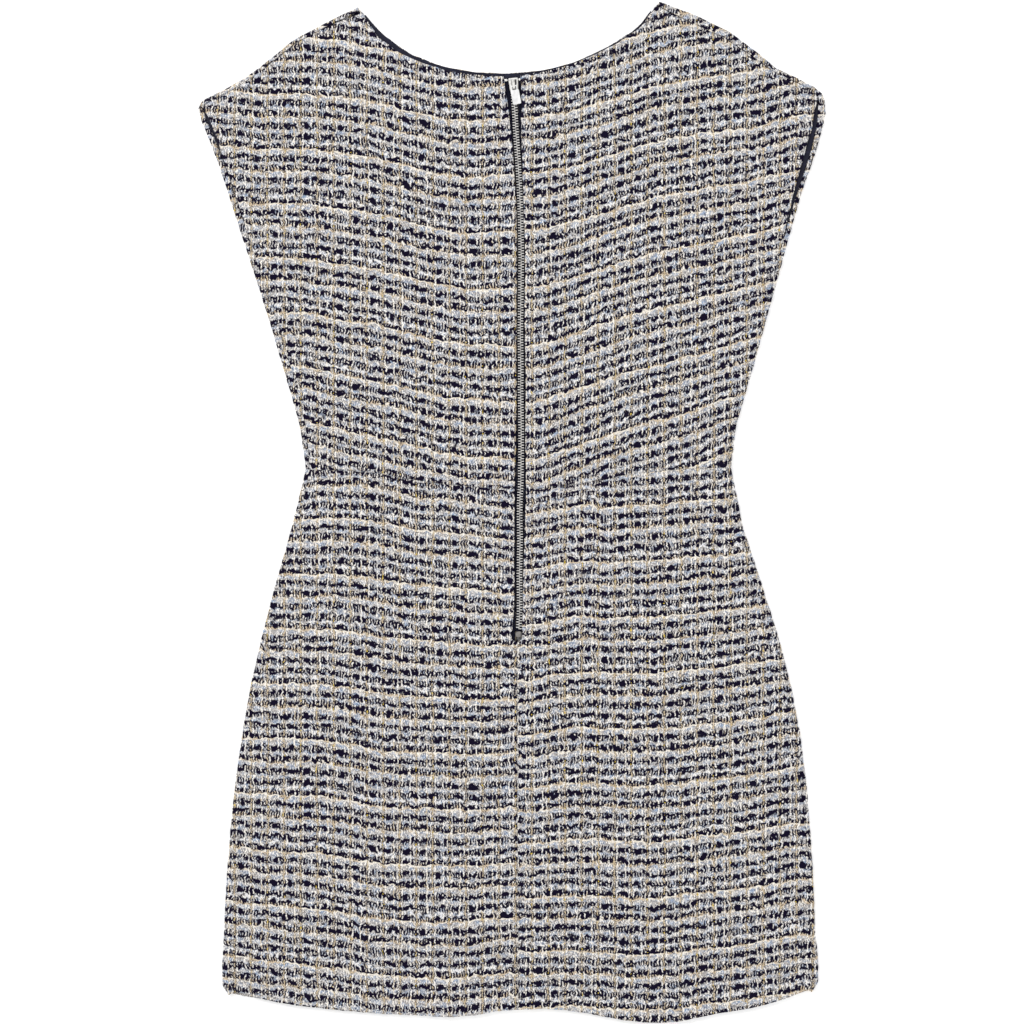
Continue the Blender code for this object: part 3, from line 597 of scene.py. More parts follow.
def add_weave_map(mesh: bpy.types.Mesh, across_mm: np.ndarray, down_mm: np.ndarray) -> None:
    """Store each point's place in the weave, in metres.

    Args:
        mesh: The mesh.
        across_mm: Place across the cloth, for each point.
        down_mm: Place down the rows.
    """
    if WEAVE_MAP not in mesh.uv_layers:
        mesh.uv_layers.new(name=WEAVE_MAP)
    for other in [one for one in mesh.uv_layers if one.name != WEAVE_MAP]:
        mesh.uv_layers.remove(other)
    layer = mesh.uv_layers[WEAVE_MAP]
    corner = np.empty(len(mesh.loops), dtype=np.int32)
    mesh.loops.foreach_get("vertex_index", corner)
    pairs = np.stack((across_mm[corner], down_mm[corner]), axis=1) * MM
    layer.uv.foreach_set("vector", pairs.astype(np.float32).ravel())


# --------------------------------------------------------------------------- the weave's lie


class Weft(NamedTuple):
    """How far the rows stand above their level at one place across a panel, in millimetres."""

    x: float
    upper: float
    middle: float
    lower: float


@dataclass(frozen=True)
class Lie:
    """How the tweed's rows lie on one panel."""

    levels_mm: tuple[float, float, float]
    readings: tuple[Weft, ...]
    top_mm: float = 343.0
    clear_mm: float = 956.0
    blend_mm: float = 9.0

    def rows(self, x: np.ndarray, y: np.ndarray) -> np.ndarray:
        """Place down the weave's rows.

        Args:
            x: Places across, in millimetres.
            y: Places up the dress.

        Returns:
            Distance down the rows, always positive.
        """
        table = np.array(self.readings)
        line = np.arange(table[0, 0] - 30.0, table[-1, 0] + 30.0, 1.0)
        window = np.hanning(2 * int(self.blend_mm) + 1)
        window /= window.sum()
        levels = []
        for column in (1, 2, 3):
            raw = np.interp(line, table[:, 0], table[:, column])
            padded = np.pad(raw, len(window) // 2, mode="edge")
            levels.append(np.interp(x, line, np.convolve(padded, window, mode="valid")))
        upper, middle, lower = self.levels_mm
        above = np.clip((y - middle) / (upper - middle), 0.0, 1.0)
        below = np.clip((middle - y) / (middle - lower), 0.0, 1.0)
        lift = levels[1] + above * (levels[0] - levels[1]) + below * (levels[2] - levels[1])
        return self.clear_mm + self.top_mm - y + lift


# The four back tables were not worked out by hand. They are readings that a matching program
# printed, smoothed and rounded, and guesses where it printed none. The front tables are guesses
# that reuse some of them. A few chosen values or a curve for each panel should replace them.
BODICE_LEVELS = (320.0, 190.0, 60.0)
SKIRT_LEVELS = (0.0, -190.0, -370.0)
LEFT_BODICE_LIE = Lie(BODICE_LEVELS, (
    Weft(-245, 20, 21, 24), Weft(-220, 16.6, 19.5, 24), Weft(-200, 16.7, 19.8, 24),
    Weft(-180, 16.6, 18.6, 24.5), Weft(-160, 15.4, 14.8, 19), Weft(-140, 13, 12.2, 13.2),
    Weft(-120, 9.4, 10, 9.4), Weft(-100, 4.7, 5.4, 4.8), Weft(-80, -0.4, 0.4, 0),
    Weft(-60, -5, -4.6, -4.6), Weft(-40, -6.8, -7.8, -7.2), Weft(-20, -6, -7.9, -8.6),
    Weft(5, -4, -7.5, -10)))
RIGHT_BODICE_LIE = Lie(BODICE_LEVELS, (
    Weft(5, -4, -7.5, -11), Weft(20, -3.9, -6.4, -11), Weft(40, -1, -2, -4.6), Weft(60, 4, 4, 2.4),
    Weft(80, 10, 11.3, 9.6), Weft(100, 16, 17.4, 15.6), Weft(120, 22.5, 22.5, 21.6),
    Weft(140, 26.8, 26.8, 26.2), Weft(160, 29.6, 31, 32.2), Weft(180, 32.6, 35.6, 41.5),
    Weft(200, 34.5, 41.5, 47), Weft(220, 39, 46, 52), Weft(245, 46, 52, 58)))
LEFT_SKIRT_LIE = Lie(SKIRT_LEVELS, (
    Weft(-245, 36, 38, 41), Weft(-220, 34.5, 36.5, 37.7), Weft(-200, 33.5, 35.5, 35.6),
    Weft(-180, 33, 35.8, 33.2), Weft(-160, 34.6, 34.8, 31), Weft(-140, 34.3, 31.6, 28.5),
    Weft(-120, 33, 27, 24.4), Weft(-100, 28.2, 25.2, 23.2), Weft(-80, 23.5, 25, 22),
    Weft(-60, 22.6, 23.9, 21.8), Weft(-40, 20.2, 22.4, 22), Weft(-20, 17.5, 22.4, 24.4),
    Weft(5, 13.5, 24.5, 26.5)))
RIGHT_SKIRT_LIE = Lie(SKIRT_LEVELS, (
    Weft(5, -11.5, -9, -3.6), Weft(20, -10, -8.2, -3.6), Weft(40, -5.2, -3.8, -2.6),
    Weft(60, -2.8, -2, -3), Weft(71, -1.6, -1.8, -3.4), Weft(76, -5.6, -2.6, -4),
    Weft(100, -2.9, -3.6, -5.5), Weft(120, -1.6, -3.5, -5.8), Weft(140, -0.2, -2, -4.6),
    Weft(160, 2, 0, -1.8), Weft(180, 2.4, 2, 0.6), Weft(200, 5, 4.9, 3), Weft(220, 7, 8, 6.4),
    Weft(245, 9, 12, 10.5)))
FRONT_BODICE_LIE = Lie(BODICE_LEVELS, (
    Weft(-270, 20, 21, 24), Weft(-244, 20, 21, 24), Weft(-228, 33, 20, 24), Weft(-100, 22, 12, 8),
    Weft(0, 2, 0, -4), Weft(100, 30, 26, 20), Weft(218, 50, 46, 52), Weft(245, 46, 52, 58)))
FRONT_SKIRT_LIE = Lie(SKIRT_LEVELS, (
    Weft(-245, 36, 38, 41), Weft(-200, 33.5, 35.5, 35.6), Weft(0, 12, 14, 16), Weft(200, 5, 4.9, 3),
    Weft(245, 9, 12, 10.5)))


class Crease(NamedTuple):
    """A soft line pressed into the cloth or raised in it, in millimetres."""

    x_top: float
    y_top: float
    x_low: float
    y_low: float
    width: float
    rise: float


BACK_CREASES = (
    Crease(-95.0, 112.0, -94.0, 40.0, 1.6, -0.45), Crease(76.0, 112.0, 76.0, 40.0, 1.6, -0.4),
    Crease(72.0, 18.0, 76.5, -60.0, 1.6, -0.5), Crease(-106.0, 24.0, -105.0, -46.0, 1.6, -0.4),
    Crease(-150.0, 250.0, -118.0, 205.0, 8.0, -0.3), Crease(150.0, 262.0, 122.0, 200.0, 9.0, -0.35),
    Crease(-214.0, 320.0, -186.0, 262.0, 7.0, -0.35), Crease(216.0, 322.0, 188.0, 268.0, 8.0, -0.4),
    Crease(-120.0, 410.0, -92.0, 360.0, 8.0, 0.3), Crease(112.0, 412.0, 88.0, 362.0, 8.0, 0.3),
    Crease(-146.0, -30.0, -132.0, -420.0, 13.0, -0.45), Crease(146.0, -60.0, 152.0, -425.0, 13.0, -0.4),
    Crease(-28.0, -150.0, -20.0, -430.0, 14.0, -0.35), Crease(40.0, -150.0, 34.0, -430.0, 14.0, -0.35),
    Crease(-205.0, -180.0, -198.0, -400.0, 10.0, 0.3), Crease(214.0, -200.0, 218.0, -400.0, 10.0, 0.3),
)
FRONT_CREASES = (
    Crease(-120.0, 330.0, -96.0, 250.0, 9.0, 0.35), Crease(118.0, 322.0, 92.0, 246.0, 8.0, 0.3),
    Crease(-84.0, 120.0, -82.0, 30.0, 3.0, 0.3), Crease(86.0, 118.0, 84.0, 30.0, 3.0, 0.3),
    Crease(-132.0, -60.0, -120.0, -400.0, 12.0, 0.4), Crease(122.0, -80.0, 134.0, -410.0, 13.0, 0.4),
    Crease(-16.0, -120.0, -6.0, -420.0, 12.0, 0.3), Crease(190.0, -150.0, 196.0, -380.0, 9.0, 0.3),
)


CREASE_FADE = 22.0       # how far a crease takes to rise from nothing at its ends, in millimetres


def crease_rise(x: np.ndarray, y: np.ndarray, creases: Sequence[Crease]) -> np.ndarray:
    """How far the creases raise or lower the cloth.

    Args:
        x: Places across, in millimetres.
        y: Places up the dress.
        creases: The creases.

    Returns:
        The rise at each place, in millimetres.
    """
    total = np.zeros_like(x)
    for crease in creases:
        run = np.array((crease.x_low - crease.x_top, crease.y_low - crease.y_top))
        length = np.hypot(*run)
        along = ((x - crease.x_top) * run[0] + (y - crease.y_top) * run[1]) / length**2
        aside = ((x - crease.x_top) * run[1] - (y - crease.y_top) * run[0]) / length
        fade = np.clip(np.minimum(along, 1.0 - along) * length / CREASE_FADE + 0.5, 0.0, 1.0)
        total += crease.rise * fade * fade * (3 - 2 * fade) * np.exp(-(aside / crease.width) ** 2)
    return total


def row_relief(across: np.ndarray, down: np.ndarray) -> np.ndarray:
    """Thickness that the slubs and puffs give the cloth.

    Args:
        across: Places across the cloth, in millimetres.
        down: Places down its rows.

    Returns:
        Relief in millimetres.
    """
    tweed = Tweed()
    row = down % tweed.repeat_mm
    slub = sum(np.exp(-((row - centre) / 2.0) ** 2) for centre in tweed.navy_picks_mm)
    lumps = value_noise(across, down * 1.2, 5.0, 11) - 0.5
    return 0.14 * slub * (1.0 + lumps) + 0.2 * lumps


def raggedness(x: np.ndarray, y: np.ndarray) -> tuple[np.ndarray, np.ndarray]:
    """Small shifts of the cloth that leave its edges uneven.

    Args:
        x: Places across, in millimetres.
        y: Places up the dress.

    Returns:
        Shifts across and up, in millimetres.
    """
    return 0.7 * (value_noise(x, y, 2.6, 21) - 0.5), 0.7 * (value_noise(x, y, 2.6, 22) - 0.5)


# --------------------------------------------------------------------------- cloth pieces


class Corner(Enum):
    """The four corners that a panel's outline is split at."""

    LOW_LEFT = 0
    LOW_RIGHT = 1
    HIGH_RIGHT = 2
    HIGH_LEFT = 3


@dataclass
class BackPanel:
    """One back panel: a fine shell on its solid's form, with the weave's lie on it."""

    node: str
    lie: Lie
    towards: dict[Corner, tuple[float, float]]
    cut: tuple[float, float]
    area: float
    rests_on: tuple[str, ...]
    across_step: float = 2.3 * MM
    up_step: float = 1.6 * MM
    wall: float = 1.5 * MM
    edge_steps_mm: tuple[float, ...] = (0.4, 0.9, 1.6, 2.5)
    rounding: tuple[float, float, float, float] = (0.35 * MM, 0.9 * MM, 0.8 * MM, 0.35 * MM)
    edge_reach: float = 2.2 * MM
    growth: float = 0.16 * MM
    smoothing: int = 3

    def outline(self) -> np.ndarray:
        """The solid's upper rim in order, seen anticlockwise from above.

        Returns:
            Its points.
        """
        mesh = bmesh.new()
        mesh.from_mesh(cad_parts[self.node].data)
        bmesh.ops.remove_doubles(mesh, verts=mesh.verts, dist=1e-6)
        beside: dict[int, list] = {}
        for edge in mesh.edges:
            ups = sorted(abs(face.normal.z) for face in edge.link_faces)
            top = max(face.normal.z for face in edge.link_faces)
            if len(ups) == 2 and ups[0] < 0.5 < top:
                first, second = edge.verts
                beside.setdefault(first.index, []).append(second)
                beside.setdefault(second.index, []).append(first)
        mesh.verts.ensure_lookup_table()
        start = next(iter(beside))
        loop, last = [mesh.verts[start]], None
        while True:
            following = [v for v in beside[loop[-1].index] if v is not last and v is not loop[-1]]
            last = loop[-1]
            if following[0].index == start and len(loop) > 2:
                break
            loop.append(following[0])
        points = np.array([v.co[:] for v in loop])
        mesh.free()
        turned = np.roll(points, -1, axis=0)
        twice_area = np.sum(points[:, 0] * turned[:, 1] - turned[:, 0] * points[:, 1])
        return points if twice_area > 0 else points[::-1]

    def edges(self) -> list[np.ndarray]:
        """The outline split at its corners: low, right, high and left edge, running up or to +X."""
        loop = self.outline()
        at = {corner: int(np.argmax(loop[:, :2] @ np.array(way))) for corner, way in self.towards.items()}

        def stretch(first: Corner, last: Corner) -> np.ndarray:
            """Points of the outline from one corner on to another."""
            count = (at[last] - at[first]) % len(loop)
            return loop[(at[first] + np.arange(count + 1)) % len(loop)]

        low = stretch(Corner.LOW_LEFT, Corner.LOW_RIGHT)
        right = stretch(Corner.LOW_RIGHT, Corner.HIGH_RIGHT)
        high = stretch(Corner.HIGH_RIGHT, Corner.HIGH_LEFT)[::-1]
        left = stretch(Corner.HIGH_LEFT, Corner.LOW_LEFT)[::-1]
        return [low, right, high, left]

    def places(self, length: float, step: float) -> np.ndarray:
        """Shares of an edge's length, closer together beside its ends.

        Args:
            length: The edge's length.
            step: Distance between places in its middle.

        Returns:
            Shares from 0 to 1.
        """
        near = np.array((0.0, *self.edge_steps_mm)) * MM
        count = max(2, round((length - 2 * near[-1]) / step))
        middle = np.linspace(near[-1], length - near[-1], count + 1)
        return np.concatenate((near[:-1], middle, (length - near[:-1])[::-1])) / length

    def along(self, edge: np.ndarray, places: np.ndarray) -> np.ndarray:
        """Points at shares of an edge's length."""
        run = np.concatenate(([0.0], np.cumsum(np.linalg.norm(np.diff(edge[:, :2], axis=0), axis=1))))
        return np.stack([np.interp(places * run[-1], run, edge[:, axis]) for axis in (0, 1)], axis=1)

    def net(self) -> np.ndarray:
        """A net of points that fills the outline, row by row from below."""
        low, right, high, left = self.edges()

        def span(edge: np.ndarray) -> float:
            """Length of an edge."""
            return float(np.linalg.norm(np.diff(edge[:, :2], axis=0), axis=1).sum())

        across = self.places((span(low) + span(high)) / 2, self.across_step)
        up = self.places((span(left) + span(right)) / 2, self.up_step)
        bottom, top = self.along(low, across), self.along(high, across)
        start, end = self.along(left, up), self.along(right, up)
        u, v = across[None, :, None], up[:, None, None]
        ruled = (1 - u) * start[:, None] + u * end[:, None] + (1 - v) * bottom[None] + v * top[None]
        corners = ((1 - v) * ((1 - u) * bottom[0] + u * bottom[-1]) + v * ((1 - u) * top[0] + u * top[-1]))
        net = ruled - corners
        for line, inner in ((np.s_[0], np.s_[1]), (np.s_[-1], np.s_[-2]), (np.s_[:, 0], np.s_[:, 1]),
                            (np.s_[:, -1], np.s_[:, -2])):
            outward = net[line] - net[inner]
            net[line] += outward / np.linalg.norm(outward, axis=1, keepdims=True) * self.growth
        return net

    def heights(self, net: np.ndarray) -> np.ndarray:
        """Height of the solid's upper face under each point of the net, made smooth.

        Args:
            net: The net's points.

        Returns:
            Their heights.
        """
        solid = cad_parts[self.node]
        tree = BVHTree.FromObject(solid, bpy.context.evaluated_depsgraph_get())
        above, down = 0.05, Vector((0.0, 0.0, -1.0))
        levels = np.empty(net.shape[:2])
        for index in np.ndindex(levels.shape):
            x, y = net[index]
            hit = tree.ray_cast(Vector((x, y, above)), down)[0]
            levels[index] = hit.z if hit is not None else np.nan
        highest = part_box(self.node)[1][2]
        level = np.nanmedian(levels)
        for index in np.argwhere(np.isnan(levels) | (levels < level - 1.2 * MM)):
            x, y = net[tuple(index)]
            levels[tuple(index)] = tree.find_nearest(Vector((x, y, highest)))[0].z
        for _ in range(self.smoothing):
            for axis in (0, 1):
                padded = np.concatenate((levels.take([0], axis), levels, levels.take([-1], axis)), axis)
                count = levels.shape[axis]
                levels = sum(padded.take(range(k, k + count), axis) for k in range(3)) / 3
        return levels

    def from_edges(self, net: np.ndarray) -> list[np.ndarray]:
        """Distance of each point of the net from the panel's low, right, high and left edge."""
        runs = []
        for axis in (0, 1):
            steps = np.linalg.norm(np.diff(net, axis=axis), axis=2)
            zero = np.zeros_like(steps.take([0], axis))
            runs.append(np.concatenate((zero, np.cumsum(steps, axis=axis)), axis))
        up, across = runs
        return [up, across.take([-1], 1) - across, up.take([-1], 0) - up, across]

    def build(self, material: bpy.types.Material) -> bpy.types.Object:
        """Make the panel.

        Args:
            material: The tweed.

        Returns:
            The piece.
        """
        net = self.net()
        rows, columns = net.shape[:2]
        deselect()
        bpy.ops.mesh.primitive_grid_add(x_subdivisions=columns - 1, y_subdivisions=rows - 1, size=1.0)
        piece = bpy.context.object
        piece.name = self.node + "_tweed"
        x, y = net[..., 0].ravel() / MM, net[..., 1].ravel() / MM
        down = self.lie.rows(x, y)
        edges = [edge.ravel() for edge in self.from_edges(net)]
        drop = np.max([most * np.clip(1.0 - edge / self.edge_reach, 0.0, 1.0) ** 2
                       for most, edge in zip(self.rounding, edges)], axis=0)
        inner = np.clip(np.min(edges, axis=0) / (3 * self.edge_reach), 0.0, 1.0)
        rise = crease_rise(x, y, BACK_CREASES) * inner + row_relief(x, down)
        z = self.heights(net).ravel() - drop + (rise - 0.1) * MM
        ragged_x, ragged_y = raggedness(x, y)
        set_coordinates(piece.data, np.stack(((x + ragged_x) * MM, (y + ragged_y) * MM, z), axis=1))
        add_weave_map(piece.data, x, down)
        apply_modifier(piece, 'SOLIDIFY', thickness=self.wall, offset=-1.0)
        choose(piece)
        bpy.ops.object.shade_smooth()
        piece.data.materials.clear()
        piece.data.materials.append(material)
        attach(piece, BODY)
        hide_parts(self.node)
        return piece


@dataclass
class SmallSheet:
    """A front, lining or tape piece: its solid's own form, cut into a fine net."""

    node: str
    slot: Slot
    cut: tuple[float, float]
    area: float
    rests_on: tuple[str, ...]
    steps: tuple[float, float]
    lie: "Lie | None" = None
    creases: tuple[Crease, ...] = ()
    sewn_on: tuple[str, ...] = ()
    smooth_angle: float = math.radians(50.0)
    lower_face: float = 2.2 * MM

    def cut_across(self, piece: bpy.types.Object) -> None:
        """Cut the piece's faces along even lines both ways.

        Args:
            piece: The piece.
        """
        low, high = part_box(self.node)
        choose(piece)
        bpy.ops.object.mode_set(mode='EDIT')
        for axis, step in enumerate(self.steps):
            normal = [0.0, 0.0, 0.0]
            normal[axis] = 1.0
            count = int((high[axis] - low[axis]) / step)
            for k in range(1, count + 1):
                place = [0.0, 0.0, 0.0]
                place[axis] = low[axis] + k * (high[axis] - low[axis]) / (count + 1)
                bpy.ops.mesh.select_all(action='SELECT')
                bpy.ops.mesh.bisect(plane_co=place, plane_no=normal)
        bpy.ops.object.mode_set(mode='OBJECT')

    def build(self, material: bpy.types.Material) -> bpy.types.Object:
        """Make the piece.

        Args:
            material: Its cloth.

        Returns:
            The piece.
        """
        piece = copy_of_node(self.node, self.node + "_cloth")
        self.cut_across(piece)
        points = coordinates(piece.data)
        x, y = points[:, 0] / MM, points[:, 1] / MM
        if self.creases:
            below = points[:, 2] < self.lower_face
            points[:, 2] += np.where(below, crease_rise(x, y, self.creases), 0.0) * MM
            set_coordinates(piece.data, points)
        if self.lie is not None:
            points[:, :2] += np.stack(raggedness(x, y), axis=1) * MM
            set_coordinates(piece.data, points)
            add_weave_map(piece.data, x, self.lie.rows(x, y))
        choose(piece)
        bpy.ops.object.shade_smooth_by_angle(angle=self.smooth_angle)
        piece.data.materials.append(material)
        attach(piece, BODY)
        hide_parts(self.node)
        return piece


# --------------------------------------------------------------------------- zip


@dataclass
class Chain:
    """The zip's closed teeth and the cord strip that they are clamped to."""

    node: str = "zip_chain"
    pitch: float = 2.32 * MM
    tooth: tuple[float, float, float] = (3.1 * MM, 0.96 * MM, 1.35 * MM)
    overlap: float = 0.55 * MM
    strip_depth: float = 0.7 * MM
    strip_width: float = 5.6 * MM
    strip_rows: int = 160
    rib: float = 0.15 * MM
    bevel: float = 0.22 * MM
    head_length: float = 1.0 * MM
    head_narrowing: float = 0.22
    head_drop: float = 0.18 * MM
    middle: list[tuple[float, float]] = field(default_factory=list)

    def find_middle(self) -> None:
        """Read the chain's middle line from its solid."""
        points = coordinates(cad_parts[self.node].data)
        heights = np.unique(points[:, 1].round(6))
        self.middle = [(float(y), float(points[np.abs(points[:, 1] - y) < 2e-6, 0].mean())) for y in heights]

    def centre(self, y: float) -> float:
        """The middle line's x at a height."""
        table = np.array(self.middle)
        return float(np.interp(y, table[:, 0], table[:, 1]))

    def first_tooth(self, top: float) -> bpy.types.Object:
        """Model one tooth of the left side, with its head towards the middle line.

        Args:
            top: Height of its upper face above the surface.

        Returns:
            The tooth at the origin.
        """
        length, width, height = self.tooth
        deselect()
        bpy.ops.mesh.primitive_cube_add(size=1.0, location=(self.overlap - length / 2, 0.0, top - height / 2),
                                        scale=self.tooth)
        tooth = bpy.context.object
        bpy.ops.object.transform_apply(location=True, rotation=False, scale=True)
        bpy.ops.object.mode_set(mode='EDIT')
        bpy.ops.mesh.select_all(action='SELECT')
        bpy.ops.mesh.bevel(offset=self.bevel, segments=1, affect='EDGES')
        bpy.ops.object.mode_set(mode='OBJECT')
        points = coordinates(tooth.data)
        head = np.clip((points[:, 0] + self.head_length) / (self.overlap + self.head_length), 0.0, 1.0)
        points[:, 1] *= 1.0 - self.head_narrowing * head
        points[:, 2] -= self.head_drop * head
        set_coordinates(tooth.data, points)
        return tooth

    def build(self, metal: bpy.types.Material, tape: bpy.types.Material) -> None:
        """Make the teeth and the strip under them.

        Args:
            metal: The teeth's plating.
            tape: The strip's cloth.
        """
        self.find_middle()
        low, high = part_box(self.node)
        model = self.first_tooth(high[2])
        count = int((high[1] - low[1]) / self.pitch)
        copies = []
        for side in (-1, 1):
            for k in range(count):
                y = high[1] - (k + (0.5 if side < 0 else 1.0)) * self.pitch
                slope = (self.centre(y + 0.01) - self.centre(y - 0.01)) / 0.02
                turn = Matrix.Rotation(-math.atan(slope) + (0.0 if side < 0 else math.pi), 4, 'Z')
                tooth = bpy.data.objects.new("tooth", model.data.copy())
                tooth.data.transform(Matrix.Translation((self.centre(y), y, 0.0)) @ turn)
                bpy.context.scene.collection.objects.link(tooth)
                copies.append(tooth)
        deselect()
        for tooth in copies:
            tooth.select_set(True)
        model.select_set(True)
        bpy.context.view_layer.objects.active = copies[0]
        bpy.data.objects.remove(model)
        bpy.ops.object.join()
        teeth = bpy.context.object
        teeth.name = "zip_teeth"
        bpy.ops.object.shade_smooth_by_angle(angle=math.radians(30.0))
        teeth.data.materials.append(metal)
        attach(teeth, BODY)
        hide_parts(self.node)
        self.add_strip(low, high, tape)

    def add_strip(self, low: Vector, high: Vector, tape: bpy.types.Material) -> None:
        """Lay the strip of cord and tape that the teeth bite on.

        Args:
            low: The chain's lowest corner.
            high: Its highest corner.
            tape: The strip's cloth.
        """
        deselect()
        bpy.ops.mesh.primitive_grid_add(x_subdivisions=4, y_subdivisions=self.strip_rows, size=1.0)
        strip = bpy.context.object
        strip.name = "zip_cord_strip"
        points = coordinates(strip.data)
        ys = low[1] + (points[:, 1] + 0.5) * (high[1] - low[1])
        centres = np.array([self.centre(y) for y in ys])
        ridge = self.rib * np.abs(np.sin(points[:, 0] * 2 * math.pi))
        top = low[2] + self.strip_depth + ridge
        set_coordinates(strip.data, np.stack((centres + points[:, 0] * self.strip_width, ys, top), axis=1))
        apply_modifier(strip, 'SOLIDIFY', thickness=self.strip_depth * 0.8, offset=-1.0)
        choose(strip)
        bpy.ops.object.shade_smooth_by_angle(angle=math.radians(40.0))
        strip.data.materials.append(tape)
        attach(strip, BODY)


@dataclass
class MetalPiece:
    """A hard piece of the zip: its solid with softened edges."""

    node: str
    body: str
    softness: float
    finish: Finish = Finish.NICKEL
    segments: int = 2

    def build(self, material: bpy.types.Material) -> bpy.types.Object:
        """Make the piece.

        Args:
            material: Its plating.

        Returns:
            The piece.
        """
        piece = copy_of_node(self.node, self.node + "_metal")
        apply_modifier(piece, 'BEVEL', width=self.softness, segments=self.segments,
                       limit_method='ANGLE', angle_limit=math.radians(28.0), use_clamp_overlap=True)
        choose(piece)
        bpy.ops.object.shade_smooth_by_angle(angle=math.radians(35.0))
        piece.data.materials.append(material)
        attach(piece, self.body)
        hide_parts(self.node)
        return piece


# --------------------------------------------------------------------------- studio


@dataclass
class Studio:
    """A pale floor, soft light from all round and a camera straight above."""

    view_width: float = 0.8806
    camera_height: float = 6.0
    sensor: float = 36.0
    floor_size: float = 40.0

    def floor(self) -> None:
        """Lay the floor."""
        deselect()
        bpy.ops.mesh.primitive_plane_add(size=self.floor_size, location=(0.0, 0.0, -0.0002))
        ground = bpy.context.object
        ground.name = "floor"
        recipe = Recipe("pale floor", roughness=0.95)
        recipe.shader.inputs["Emission Color"].default_value = (1.0, 1.0, 1.0, 1.0)
        recipe.shader.inputs["Emission Strength"].default_value = 0.3
        x, y, _ = recipe.object_coordinates()
        tone = recipe.noise(x / 400.0, y / 400.0)
        ground.data.materials.append(recipe.finish(recipe.mix("#fbfbfb", "#ffffff", tone)))

    def lights(self) -> None:
        """Set the lights."""
        world = bpy.data.worlds.new("soft room")
        world.use_nodes = True
        sky = world.node_tree.nodes["Background"]
        sky.inputs["Color"].default_value = (1.0, 1.0, 1.0, 1.0)
        sky.inputs["Strength"].default_value = 0.7
        bpy.context.scene.world = world
        for name, place, size, watts in (("key", (-1.6, 1.6, 2.6), 1.6, 42.0),
                                         ("fill", (2.4, -0.6, 3.0), 2.4, 16.0)):
            light = bpy.data.lights.new(name, 'AREA')
            light.size = size
            light.energy = watts
            lamp = bpy.data.objects.new(name, light)
            bpy.context.scene.collection.objects.link(lamp)
            lamp.location = place
            lamp.rotation_euler = (-Vector(place)).to_track_quat('-Z', 'Y').to_euler()

    def camera(self) -> None:
        """Hang the camera over the dress's middle."""
        lens = bpy.data.cameras.new("camera")
        lens.sensor_width = self.sensor
        lens.lens = self.sensor * self.camera_height / self.view_width
        eye = bpy.data.objects.new("camera", lens)
        bpy.context.scene.collection.objects.link(eye)
        eye.location = (0.0, 0.0, self.camera_height)
        bpy.context.scene.camera = eye

    def build(self) -> None:
        """Make the studio."""
        self.floor()
        self.lights()
        self.camera()
        bpy.context.scene.view_settings.view_transform = 'Standard'


# --------------------------------------------------------------------------- the dress


def mirrored(way: dict[Corner, tuple[float, float]]) -> dict[Corner, tuple[float, float]]:
    """The same corners on the dress's other side."""
    swap = {Corner.LOW_LEFT: Corner.LOW_RIGHT, Corner.LOW_RIGHT: Corner.LOW_LEFT,
            Corner.HIGH_LEFT: Corner.HIGH_RIGHT, Corner.HIGH_RIGHT: Corner.HIGH_LEFT}
    return {swap[corner]: (-x, y) for corner, (x, y) in way.items()}


BODICE_CORNERS = {Corner.LOW_LEFT: (-0.3, -1.0), Corner.LOW_RIGHT: (1.0, -1.0),
                  Corner.HIGH_RIGHT: (1.0, 0.9), Corner.HIGH_LEFT: (-1.0, 0.55)}
SKIRT_CORNERS = {Corner.LOW_LEFT: (-1.0, -1.0), Corner.LOW_RIGHT: (1.0, -1.0),
                 Corner.HIGH_RIGHT: (1.0, 1.0), Corner.HIGH_LEFT: (-1.0, 1.0)}


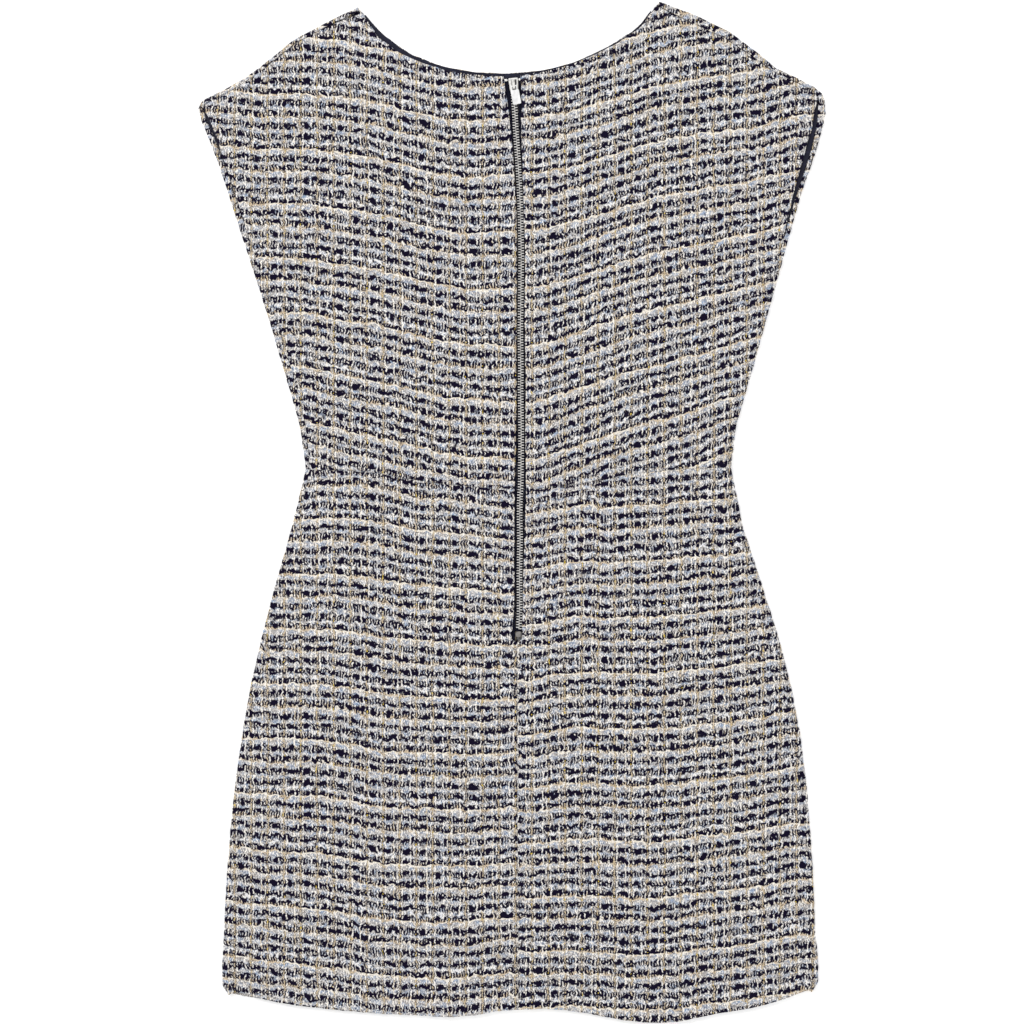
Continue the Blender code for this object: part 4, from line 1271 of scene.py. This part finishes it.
@dataclass
class ShiftDress:
    """The whole dress."""

    back: tuple[BackPanel, ...] = (
        BackPanel("back_bodice_left", LEFT_BODICE_LIE, BODICE_CORNERS, (0.27, 0.42), 0.0795,
                  ("front_bodice", "front_neck_facing", "zip_tape_left")),
        BackPanel("back_bodice_right", RIGHT_BODICE_LIE, mirrored(BODICE_CORNERS), (0.26, 0.42), 0.0791,
                  ("front_bodice", "front_neck_facing", "zip_tape_right"),
                  rounding=(0.35 * MM, 0.35 * MM, 0.8 * MM, 0.9 * MM)),
        BackPanel("back_skirt_left", LEFT_SKIRT_LIE, SKIRT_CORNERS, (0.25, 0.475), 0.1016,
                  ("front_skirt", "zip_tape_left"), rounding=(0.8 * MM, 0.6 * MM, 0.35 * MM, 0.3 * MM)),
        BackPanel("back_skirt_right", RIGHT_SKIRT_LIE, mirrored(SKIRT_CORNERS), (0.26, 0.48), 0.1051,
                  ("front_skirt", "zip_tape_right"), rounding=(0.8 * MM, 0.3 * MM, 0.35 * MM, 0.6 * MM)),
    )
    flat: tuple[SmallSheet, ...] = (
        SmallSheet("front_bodice", Slot.TWEED, (0.56, 0.42), 0.1715, ("floor",), (9.0 * MM, 4.0 * MM),
                   FRONT_BODICE_LIE, FRONT_CREASES),
        SmallSheet("front_skirt", Slot.TWEED, (0.54, 0.48), 0.217, ("floor",), (9.0 * MM, 4.0 * MM),
                   FRONT_SKIRT_LIE, FRONT_CREASES),
        SmallSheet("front_neck_facing", Slot.LINING, (0.3, 0.026), 0.0068, ("front_bodice",),
                   (5.0 * MM, 5.0 * MM)),
        SmallSheet("armhole_lining_left", Slot.LINING, (0.016, 0.1), 0.0013, ("front_bodice",),
                   (4.0 * MM, 4.0 * MM)),
        SmallSheet("armhole_lining_right", Slot.LINING, (0.016, 0.14), 0.0018, ("front_bodice",),
                   (4.0 * MM, 4.0 * MM)),
        SmallSheet("zip_tape_left", Slot.TAPE, (0.01, 0.485), 0.0042, ("front_bodice", "front_skirt"),
                   (3.0 * MM, 5.0 * MM), sewn_on=("zip_cord_strip",)),
        SmallSheet("zip_tape_right", Slot.TAPE, (0.01, 0.485), 0.0042, ("front_bodice", "front_skirt"),
                   (3.0 * MM, 5.0 * MM)),
    )
    hard: tuple[MetalPiece, ...] = (
        # the slider takes the plating with painted shade round its bridge
        MetalPiece("zip_slider", BODY, 0.18 * MM, Finish.HOLLOWED),
        # the pull tab takes the nickel lightened to white as a painted highlight
        MetalPiece("zip_pull_tab", TAB_BODY, 0.2 * MM, Finish.POLISHED),
        MetalPiece("zip_top_stop_left", BODY, 0.15 * MM),
        MetalPiece("zip_top_stop_right", BODY, 0.15 * MM),
        MetalPiece("zip_bottom_stop", BODY, 0.2 * MM, Finish.DULL),
    )

    def build(self) -> None:
        """Dress every piece."""
        cloths = {Slot.TWEED: Tweed().build(), Slot.LINING: LiningCloth().build(),
                  Slot.TAPE: TapeCloth().build()}
        metals = {
            Finish.NICKEL: ZipMetal("nickel", "#f4f2ee", "#cfcdca", 0.34, 0.6).build(),
            # slider plating with painted shade round its bridge
            Finish.HOLLOWED: ZipMetal("slider nickel", "#f4f2ee", "#cfcdca", 0.34, 0.6,
                                      bridge_shade_mm=(1.7, 367.0, 2.1, 4.7, 6.7)).build(),
            # polished nickel lightened to pure white as a painted highlight
            Finish.POLISHED: ZipMetal("polished nickel", "#ffffff", "#f2f2f2", 0.3, 0.35).build(),
            Finish.DULL: ZipMetal("dull nickel", "#8f8b88", "#7d7976", 0.5, 0.5).build(),
        }
        for panel in self.back:
            log_piece(panel.build(cloths[Slot.TWEED]))
        Chain().build(metals[Finish.NICKEL], cloths[Slot.TAPE])
        log.info("zip teeth done")
        for sheet in self.flat:
            log_piece(sheet.build(cloths[sheet.slot]))
        for part in self.hard:
            log_piece(part.build(metals[part.finish]))


def log_piece(piece: bpy.types.Object) -> None:
    """Log a finished piece's name and size."""
    log.info("%s: %d faces", piece.name, len(piece.data.polygons))


def write_sizes() -> None:
    """Bring the scene's placements up to date; no sizes are written."""
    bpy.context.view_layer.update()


def main() -> None:
    """Build the dress and the studio round it."""
    logging.basicConfig(level=logging.INFO, format="%(message)s")
    ShiftDress().build()
    Studio().build()
    write_sizes()
    deselect()


if __name__ == "__main__":
    main()
